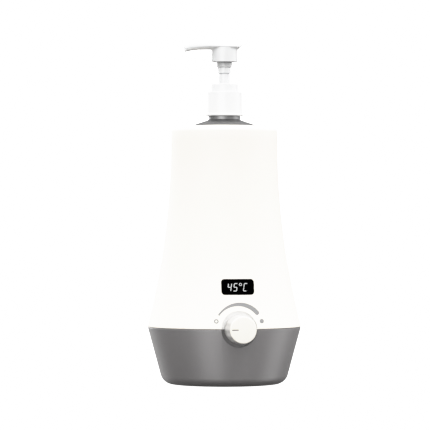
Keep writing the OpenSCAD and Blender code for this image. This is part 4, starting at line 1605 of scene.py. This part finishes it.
@dataclass
class Pump:
    """The screw collar, the chaplet that guides the stem, and the stem itself."""

    collar_z: float = 241.1 * MM
    collar_top_z: float = 262.651 * MM
    collar_r: float = 16.1 * MM
    collar_edge: float = 0.7 * MM
    collar_lip: float = 1.1 * MM
    collar_lip_h: float = 1.4 * MM
    collar_lip_edges: Pair = (0.6 * MM, 0.5 * MM)
    collar_cove: float = 0.8 * MM
    collar_bore_r: float = 14.1 * MM
    collar_bore_edge: float = 0.4 * MM
    collar_roof: float = 1.8 * MM
    collar_hole_gap: float = 0.3 * MM
    collar_hole_edge: float = 0.3 * MM
    chaplet_r: float = 12.5 * MM
    chaplet_top_z: float = 269.951 * MM
    chaplet_edge: float = 0.9 * MM
    flange_r: float = 13.8 * MM
    flange_z: float = 259.651 * MM
    flange_t: float = 1.1 * MM
    well_r: float = 7.8 * MM
    well_z: float = 260.651 * MM
    well_edges: Pair = (0.5 * MM, 0.4 * MM)
    guide_r: float = 5.25 * MM
    guide_out_r: float = 7.35 * MM
    guide_end_z: float = 251.651 * MM
    stem_r: float = 5.2 * MM
    stem_z: float = 247.351 * MM
    shoulder_r: float = 6 * MM
    shoulder_z: float = 278.951 * MM
    shoulder_top_z: float = 284.801 * MM
    shoulder_edges: Pair = (0.15 * MM, 0.55 * MM)
    groove: float = 0.5 * MM
    groove_rise: float = 0.6 * MM
    groove_edge: float = 0.2 * MM
    pin_r: float = 4.8 * MM
    pin_top_z: float = 293.051 * MM
    duct_r: float = 1.8 * MM

    def collar(self) -> None:
        """Make and dress the screw collar with the lip at its foot."""
        lip_r, lip_z = self.collar_r + self.collar_lip, self.collar_z + self.collar_lip_h
        hole_r, roof_z = self.chaplet_r + self.collar_hole_gap, self.collar_top_z - self.collar_roof
        line = Outline(self.collar_bore_r, self.collar_z).to(lip_r, self.collar_z, self.collar_lip_edges[0])
        line.to(lip_r, lip_z, self.collar_lip_edges[1])
        line.to(self.collar_r, lip_z + self.collar_cove, self.collar_cove)
        line.to(self.collar_r, self.collar_top_z, self.collar_edge)
        line.to(hole_r, self.collar_top_z, self.collar_hole_edge)
        line.to(hole_r, roof_z).to(self.collar_bore_r, roof_z).close(self.collar_bore_edge)
        collar = as_object(line.turned(), "pump_screw_collar")
        settle(collar, "collar", WHITE_PUMP, "white_pump", "screw_collar")

    def chaplet(self) -> None:
        """Make and dress the chaplet, with the well that takes the head's plug."""
        top, flange_top = self.chaplet_top_z, self.flange_z + self.flange_t
        line = Outline(self.guide_r, self.guide_end_z).to(self.guide_out_r, self.guide_end_z)
        line.to(self.guide_out_r, self.flange_z).to(self.flange_r, self.flange_z)
        line.to(self.flange_r, flange_top).to(self.chaplet_r, flange_top)
        line.to(self.chaplet_r, top, self.chaplet_edge).to(self.well_r, top, self.well_edges[0])
        line.to(self.well_r, self.well_z, self.well_edges[1]).to(self.guide_r, self.well_z).close()
        chaplet = as_object(line.turned(), "pump_chaplet")
        settle(chaplet, "pump_core", WHITE_PUMP, "white_pump", "chaplet")

    def stem(self) -> None:
        """Make and dress the hollow stem with its shoulder and the groove under it."""
        root_z = self.shoulder_z + self.groove_rise
        line = Outline(self.duct_r, self.stem_z).to(self.stem_r, self.stem_z)
        line.to(self.stem_r, root_z - 2 * self.groove, self.groove_edge).to(self.stem_r - self.groove, root_z)
        line.to(self.shoulder_r, root_z, self.shoulder_edges[0])
        line.to(self.shoulder_r, self.shoulder_top_z, self.shoulder_edges[1])
        line.to(self.pin_r, self.shoulder_top_z).to(self.pin_r, self.pin_top_z)
        line.to(self.duct_r, self.pin_top_z).close()
        stem = as_object(line.turned(), "pump_plunger_stem")
        settle(stem, "plunger", WHITE_PUMP, "white_pump", "pump_stem")

    def build(self) -> None:
        """Make the pump's outer pieces."""
        self.collar()
        self.chaplet()
        self.stem()


def bezier(points: Sequence[Pair], share: float) -> Pair:
    """Follow a cubic curve.

    Args:
        points: its four control points.
        share: how far along it to go, from 0 to 1.

    Returns:
        The point there.
    """
    rest = 1 - share
    weights = (rest ** 3, 3 * rest * rest * share, 3 * rest * share * share, share ** 3)
    return tuple(sum(w * p[axis] for w, p in zip(weights, points)) for axis in (0, 1))


def height_on(points: Sequence[Pair], x: float) -> float:
    """Find the height of a cubic curve that runs along X, by halving.

    Args:
        points: its four control points.
        x: the place along X.

    Returns:
        The height there.
    """
    low, high = 0.0, 1.0
    for _ in range(HALVINGS):
        middle = (low + high) / 2
        if bezier(points, middle)[0] < x:
            low = middle
        else:
            high = middle
    return bezier(points, low)[1]


@dataclass
class PumpHead:
    """The head: a drum on a lock plug, and a leaf-shaped deck that runs out into the spout."""

    foot_z: float = 289.651 * MM
    drum_r: Pair = (12 * MM, 12.2 * MM)
    drum_h: float = 13.4 * MM
    drum_edge: float = 0.4 * MM
    skirt_t: float = 1.5 * MM
    skirt_well: float = 9 * MM
    skirt_edge: float = 0.3 * MM
    plug_r: Pair = (6.8 * MM, 7.2 * MM)
    plug_h: float = 4.8 * MM
    plug_gap: float = 0.9 * MM
    plug_edges: Pair = (0.5 * MM, 0.2 * MM)
    socket_r: float = 4.85 * MM
    socket_h: float = 8.5 * MM
    reach: float = 36.5 * MM
    back: float = 16.6 * MM
    back_gap: float = 0.04 * MM
    tip_half_w: float = 4 * MM
    tip_edge: float = 0.6 * MM
    tip_edge_steps: int = 4
    deck_half_w: float = 12.7 * MM
    deck_top: float = 16.1 * MM
    tail_rise: float = 0.35 * MM
    tip_top: float = 14.3 * MM
    ridge: tuple[Pair, Pair] = ((-31 * MM, 18.6 * MM), (-16.8 * MM, 18.7 * MM))
    belly: float = 10.85 * MM
    tip_belly: float = 8.4 * MM
    rear_belly: Pair = (11.2 * MM, 15.35 * MM)
    droop_x: float = -31 * MM
    droop: float = 0.9 * MM
    nose_slant: float = 0.15
    nose_l: float = 7 * MM
    bore_r: float = 1.4 * MM
    bore_z: float = 13.8 * MM
    bore_turn: float = 26.5 * MM
    bore_dip: float = 9.65
    channel_r: float = 1.2 * MM
    channel_past: float = 0.6 * MM
    funnel: float = 0.2 * MM
    stations: int = 44
    sides: int = 40

    def top(self, x: float) -> float:
        """Work out the height of the deck's ridge over the drum's foot.

        Args:
            x: the place along the spout, which points to negative X.

        Returns:
            The height there.
        """
        if x > 0:
            return self.deck_top + self.tail_rise * (x / self.back)
        return height_on(((-self.reach, self.tip_top), *self.ridge, (0.0, self.deck_top)), x)

    def bottom(self, x: float) -> float:
        """Work out the height of the deck's keel over the drum's foot.

        Args:
            x: the place along the spout.

        Returns:
            The height there.
        """
        tail = self.drum_r[1]
        start, end = self.rear_belly
        if x > tail:
            return start + (end - start) * (x - tail) / (self.back - tail)
        if x > -tail:
            return self.belly + (start - self.belly) * (x + tail) / (2 * tail)
        lowest = (self.droop_x, self.belly - self.droop)
        keel = ((-self.reach, self.tip_belly), lowest, (-2 * tail, self.belly), (-tail, self.belly))
        return height_on(keel, x)

    def half_width(self, x: float) -> float:
        """Work out half the deck's width: a teardrop with a round back.

        Args:
            x: the place along the spout.

        Returns:
            Half the width there.
        """
        round_x = self.back - self.deck_half_w
        if x > round_x:
            return math.sqrt(max(0.0, self.deck_half_w ** 2 - (x - round_x) ** 2))
        share = (x + self.reach) / (round_x + self.reach)
        return self.tip_half_w + (self.deck_half_w - self.tip_half_w) * share * share * (3 - 2 * share)

    def section(self, ring: Sequence[BMVert], share: float) -> None:
        """Move a ring of corners to the deck's section.

        Args:
            ring: the corners, in order.
            share: the share of the deck's length, from the spout's tip.
        """
        x = -self.reach + (self.back - self.back_gap + self.reach) * share
        top, bottom, half = self.top(x), self.bottom(x), self.half_width(x)
        slant = self.nose_slant * max(0.0, 1 - (x + self.reach) / self.nose_l)
        for index, v in enumerate(ring):
            turn = FULL_TURN * index / len(ring)
            rise = math.sin(turn) * (top - bottom) / 2
            v.co = (x - slant * rise, math.cos(turn) * half, self.foot_z + (top + bottom) / 2 + rise)

    def deck(self) -> Object:
        """Draw out the deck and spout ring by ring from the spout's tip.

        Returns:
            The deck, to be joined to the drum.
        """
        bm = bmesh.new()
        start = bmesh.ops.create_circle(bm, cap_ends=True, segments=self.sides, radius=self.tip_half_w)
        ring = start["verts"]
        self.section(ring, 0.0)
        tip = bm.faces[:]
        loop = bm.edges[:]
        for station in range(1, self.stations + 1):
            made = bmesh.ops.extrude_edge_only(bm, edges=loop)["geom"]
            fresh = corners(made)
            loop = [edge for edge in made if isinstance(edge, BMEdge) and all(v in fresh for v in edge.verts)]
            ring = self.in_order(ring, fresh)
            self.section(ring, (1 - math.cos(math.pi * station / self.stations)) / 2)
        bmesh.ops.contextual_create(bm, geom=ring)
        rim = [edge for face in tip for edge in face.edges]
        bevel(bm, rim, self.tip_edge, self.tip_edge_steps, Rounded.EDGES)
        bmesh.ops.recalc_face_normals(bm, faces=bm.faces[:])
        return as_object(bm, "tool")

    @staticmethod
    def in_order(ring: Sequence[BMVert], fresh: Sequence[BMVert]) -> list[BMVert]:
        """Return the new corners in the order of the ring that they were drawn from."""
        found = set(fresh)
        return [next(e.other_vert(v) for e in v.link_edges if e.other_vert(v) in found) for v in ring]

    def towards_tip(self, bm: BMesh, start: float, dip: float) -> Object:
        """Lay an upright tool over towards the spout's tip.

        Args:
            bm: the upright tool.
            start: how far from the axis it begins.
            dip: how far it points below level, in degrees.

        Returns:
            The tool in its place.
        """
        place = Matrix.Translation((-start, 0, self.foot_z + self.bore_z))
        turn = Matrix.Rotation(math.radians(-90 - dip), 4, "Y")
        bmesh.ops.transform(bm, matrix=place @ turn, verts=bm.verts[:])
        return as_object(bm, "tool")

    def bores(self) -> list[Object]:
        """Make the tools that open the spout: a level channel, the dipping bore and its funnel mouth.

        Returns:
            The tools, in the order of their use.
        """
        deep = (self.reach - self.bore_turn) / math.cos(math.radians(self.bore_dip)) - self.funnel
        end, mouth_r = deep + 2 * self.funnel, self.bore_r + 2 * self.funnel
        mouth = Outline(0, deep).to(self.bore_r, deep).to(mouth_r, end).to(0, end)
        channel = bar(self.channel_r, self.bore_turn + self.channel_past, SMALL_STEPS)
        bore = bar(self.bore_r, self.reach / 2, SMALL_STEPS)
        return [
            self.towards_tip(channel, 0.0, 0.0),
            self.towards_tip(bore, self.bore_turn, self.bore_dip),
            self.towards_tip(mouth.turned(SMALL_STEPS), self.bore_turn, self.bore_dip),
        ]

    def drum(self) -> Outline:
        """Draw the drum with its skirt, its plug and the socket for the stem.

        Returns:
            The closed half-section.
        """
        foot, plug_z = self.foot_z, self.foot_z - self.plug_h
        well, socket_top = foot + self.skirt_well, plug_z + self.socket_h
        waist_r, skirt_r = self.plug_r[1] - self.plug_gap, self.drum_r[0] - self.skirt_t
        line = Outline(self.socket_r, plug_z).to(self.plug_r[0], plug_z, self.plug_edges[0])
        line.to(self.plug_r[1], foot - self.plug_gap, self.plug_edges[1])
        line.to(waist_r, foot - self.plug_gap / 2).to(waist_r, well)
        line.to(skirt_r, well).to(skirt_r, foot, self.skirt_edge)
        line.to(self.drum_r[0], foot, self.drum_edge).to(self.drum_r[1], foot + self.drum_h)
        line.to(0, foot + self.drum_h).to(0, socket_top).to(self.socket_r, socket_top)
        return line.close()

    def build(self) -> None:
        """Make the drum, join the deck to it, bore the spout and dress the head."""
        head = as_object(self.drum().turned(), "pump_head_and_spout")
        carve(head, self.deck(), Cut.JOIN)
        for tool in self.bores():
            carve(head, tool, Cut.TAKE_AWAY)
        settle(tidy(head), "head", WHITE_PUMP, "white_pump", "pump_head")


@dataclass
class Soft:
    """The soft pieces inside: the foam sleeve round the heater and the pad under the bottle."""

    foam_r: Pair = (31.27 * MM, 35.27 * MM)
    foam_z: Pair = (39.4 * MM, 149.4 * MM)
    foam_edges: Pair = (0.8 * MM, 1.2 * MM)
    foam_fill: float = 0.9
    pad_r: Pair = (6 * MM, 28.28 * MM)
    pad_z: Pair = (22.6 * MM, 24.6 * MM)
    pad_edges: Pair = (0.3 * MM, 0.5 * MM)
    pad_fill: float = 1.0
    pad_ribs: int = 5
    rib_gap: Pair = (0.5 * MM, 0.8 * MM)
    rib_depth: float = 0.5 * MM

    def foam(self) -> None:
        """Make and dress the foam sleeve."""
        (inner, outer), (low, high) = self.foam_r, self.foam_z
        inside, outside = self.foam_edges
        line = Outline(inner, low).to(outer, low, outside).to(outer, high, outside)
        sleeve = as_object(line.to(inner, high, inside).close(inside).turned(), "foam_heat_sleeve")
        settle(sleeve, "warmer", PALE_FOAM, "pale_foam", "foam_sleeve")

    def pad(self) -> None:
        """Make and dress the ribbed pad."""
        (inner, outer), (low, high) = self.pad_r, self.pad_z
        foot_edge, top_edge = self.pad_edges
        floor_half, mouth_half = self.rib_gap
        line = Outline(inner, low).to(outer, low, foot_edge).to(outer, high, top_edge)
        pitch = (outer - inner) / self.pad_ribs
        for rib in range(1, self.pad_ribs):
            reach = outer - rib * pitch
            line.to(reach + mouth_half, high, foot_edge).to(reach + floor_half, high - self.rib_depth)
            line.to(reach - floor_half, high - self.rib_depth).to(reach - mouth_half, high, foot_edge)
        pad = as_object(line.to(inner, high, top_edge).close().turned(), "ribbed_bottle_pad")
        settle(pad, "warmer", GREY_SILICONE, "grey_silicone", "bottle_pad")

    def build(self) -> None:
        """Make both pieces."""
        self.foam()
        self.pad()


@dataclass
class Inside:
    """The CAD pieces whose shapes stay as they are and only get their finish here."""

    finishes: tuple[tuple[Finish, tuple[str, ...]], ...] = (
        (GREY_SHELL, ("bottom_plate",)),
        (ZINC_STEEL, ("plate_screws", "board_screws", "control_nut", "control_shaft", "check_ball")),
        (SPUN_METAL, ("heating_cup",)),
        (RED_SILICONE, ("cup_seal",)),
        (AMBER_HEATER, ("heater_band",)),
        (BLACK_PLASTIC, ("temperature_probe", "display_module", "control_body")),
        (IVORY_CERAMIC, ("thermal_cutoff",)),
        (RED_WIRE, ("heater_leads", "cutoff_lead")),
        (YELLOW_WIRE, ("probe_lead", "control_leads")),
        (GREEN_BOARD, ("control_board",)),
        (BLUE_RELAY, ("board_relay",)),
        (BLACK_LENS, ("display_lens",)),
        (NATURAL_PLASTIC, ("pump_chamber", "dip_tube", "piston")),
        (GREY_SILICONE, ("neck_gasket",)),
    )

    def build(self) -> None:
        """Give each piece its material."""
        for finish, nodes in self.finishes:
            for node in nodes:
                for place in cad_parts[node].material_slots:
                    place.material = finish.material()
                LOG.info("%s keeps its shape, in %s", node, finish.name)


def round_the_part(azimuth: float, distance: float, height: float) -> tuple[Vector, float]:
    """Return a place round the part's axis, and the turn about Z that faces the axis from there."""
    turn = math.radians(azimuth)
    return Vector((distance * math.sin(turn), -distance * math.cos(turn), height)), turn


@dataclass(frozen=True)
class Panel:
    """A soft box that stands round the part and faces its axis."""

    name: str
    azimuth: float
    distance: float
    size: Pair
    centre_z: float
    radiance: float
    tilt: float = 0.0
    lights: Lights = Lights.GLOSS

    def build(self) -> None:
        """Add the soft box as an area light."""
        light = bpy.data.lights.new(self.name, "AREA")
        light.shape = "RECTANGLE"
        light.size, light.size_y = self.size
        light.energy = self.radiance * math.pi * self.size[0] * self.size[1]
        lamp = bpy.data.objects.new(self.name, light)
        lamp.location, turn = round_the_part(self.azimuth, self.distance, self.centre_z)
        lamp.rotation_euler = (math.radians(90 - self.tilt), 0, turn)
        lamp.visible_diffuse = self.lights is Lights.MATTE
        lamp.visible_glossy = self.lights is Lights.GLOSS
        bpy.context.scene.collection.objects.link(lamp)


@dataclass
class Studio:
    """A white floor, a pale surround, soft boxes and the camera."""

    floor_half: float = 6.0
    roll_off: float = 0.2
    brightest: float = 4.0
    curve_steps: int = 12
    dome: tuple[Pair, ...] = (
        (0.0, 0.22), (0.47, 0.27), (0.53, 1.05), (0.67, 1.75), (0.8, 2.55), (0.88, 2.8), (1.0, 2.8),
    )
    mirror: tuple[Pair, ...] = (
        (0.0, 0.05), (0.2, 0.1), (0.3, 0.18), (0.48, 0.5), (0.52, 0.6), (0.7, 0.6), (0.8, 0.68), (1.0, 1.2),
    )
    camera_azimuth: float = -11.5
    camera_distance: float = 2.34
    camera_z: float = 0.1494
    lens: float = 217.7
    shift: Pair = (-0.0216, 0.007)
    farthest: float = 30.0
    panels: tuple[Panel, ...] = (
        Panel("key_panel", azimuth=-32, distance=1.5, size=(1.1, 3.0), centre_z=0.0, radiance=2.8),
        Panel("front_panel", azimuth=28, distance=1.6, size=(1.0, 1.7), centre_z=-0.75, radiance=1.2),
        Panel("right_panel", azimuth=84, distance=1.5, size=(1.0, 3.0), centre_z=0.0, radiance=1.95),
        Panel("back_panel", azimuth=-155, distance=1.5, size=(0.9, 1.2), centre_z=-0.2, radiance=0.8),
        Panel("cone_panel", azimuth=202, distance=1.5, size=(0.8, 0.5), centre_z=0.56, radiance=6.0),
        Panel("fill_panel", azimuth=60, distance=1.6, size=(1.2, 1.2), centre_z=0.8, radiance=0.8,
              tilt=25.0, lights=Lights.MATTE),
        Panel("low_panel", azimuth=-80, distance=1.5, size=(1.2, 0.8), centre_z=-0.5, radiance=0.8,
              tilt=-20.0, lights=Lights.MATTE),
    )

    @staticmethod
    def sky(tree: ShaderTree, levels: Sequence[Pair]) -> Sock:
        """Add a grey surround whose brightness follows the height.

        Args:
            tree: the world's tree.
            levels: the brightness at places from 0, straight down, to 1, straight up.

        Returns:
            The background shader.
        """
        peak = max(level for _, level in levels)
        stops = [(place, (level / peak,) * 3) for place, level in levels]
        height = tree.coordinate(tree.node("ShaderNodeTexCoord", output="Generated"), "Z")
        shade = tree.node("ShaderNodeValToRGB", {"stops": stops}, {"Fac": height * 0.5 + 0.5})
        return tree.node("ShaderNodeBackground", {}, {"Color": shade, "Strength": peak})

    def world(self) -> None:
        """Make the surround: a dome that lights, a dimmer one for gloss, and white behind the part."""
        world = bpy.data.worlds.new("studio")
        bpy.context.scene.world = world
        tree = ShaderTree(world)
        seen = tree.node("ShaderNodeLightPath", output="Is Camera Ray")
        mirrored = tree.node("ShaderNodeLightPath", output="Is Glossy Ray")
        plain = {"Color": rgba((1.0, 1.0, 1.0)), "Strength": self.brightest}
        white = tree.node("ShaderNodeBackground", {}, plain)
        domes = {0: mirrored, 1: self.sky(tree, self.dome), 2: self.sky(tree, self.mirror)}
        lit = tree.node("ShaderNodeMixShader", {}, domes)
        mixed = tree.node("ShaderNodeMixShader", {}, {0: seen, 1: lit, 2: white})
        tree.node("ShaderNodeOutputWorld", {}, {"Surface": mixed})

    def floor(self) -> None:
        """Make the pale floor, which takes a faint shadow and sends no light back to the part."""
        bm = bmesh.new()
        bmesh.ops.create_grid(bm, x_segments=1, y_segments=1, size=self.floor_half)
        floor = as_object(bm, "floor")
        floor.data.materials.append(PALE_FLOOR.material())
        for ray in ("visible_diffuse", "visible_glossy", "visible_transmission", "visible_shadow"):
            setattr(floor, ray, False)

    def camera(self) -> None:
        """Set up the camera at the photograph's angle, level and with a long lens."""
        data = bpy.data.cameras.new("camera")
        data.lens = self.lens
        data.shift_x, data.shift_y = self.shift
        data.clip_end = self.farthest
        camera = bpy.data.objects.new("camera", data)
        camera.location, turn = round_the_part(self.camera_azimuth, self.camera_distance, self.camera_z)
        camera.rotation_euler = (math.pi / 2, 0, turn)
        bpy.context.scene.collection.objects.link(camera)
        bpy.context.scene.camera = camera

    def exposure(self) -> None:
        """Let bright whites roll off softly, as a camera does, so that a white part keeps its edges."""
        view = bpy.context.scene.view_settings
        view.view_transform = "Standard"
        view.use_curve_mapping = True
        view.curve_mapping.white_level = (self.brightest,) * 3
        curve = view.curve_mapping.curves[COMBINED_CURVE]
        knee = 1 - self.roll_off
        for step in range(1, self.curve_steps):
            level = knee + (self.brightest - knee) * (step / self.curve_steps) ** 2
            shown = 1 - self.roll_off * math.exp((knee - level) / self.roll_off)
            curve.points.new(level / self.brightest, shown)
        curve.points.new(knee / self.brightest, knee)
        for point in curve.points:
            point.handle_type = "VECTOR"
        view.curve_mapping.update()

    def build(self) -> None:
        """Set the studio up."""
        self.exposure()
        self.camera()
        self.world()
        self.floor()
        for panel in self.panels:
            panel.build()


def main() -> None:
    """Build every sub-assembly in order; each piece logs the body it rides on and its face count."""
    logging.basicConfig(level=logging.INFO, format="%(name)s: %(message)s")
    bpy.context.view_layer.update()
    flare, dish = Flare(), Dish()
    Studio().build()
    for part in (
        BodyShell(flare, dish), BaseShell(flare, dish), Underside(), DialMarks(flare), Readout(flare),
        Knob(dish), Bottle(), Pump(), PumpHead(), Spring(), Soft(), Inside(),
    ):
        part.build()


if __name__ == "__main__":
    main()
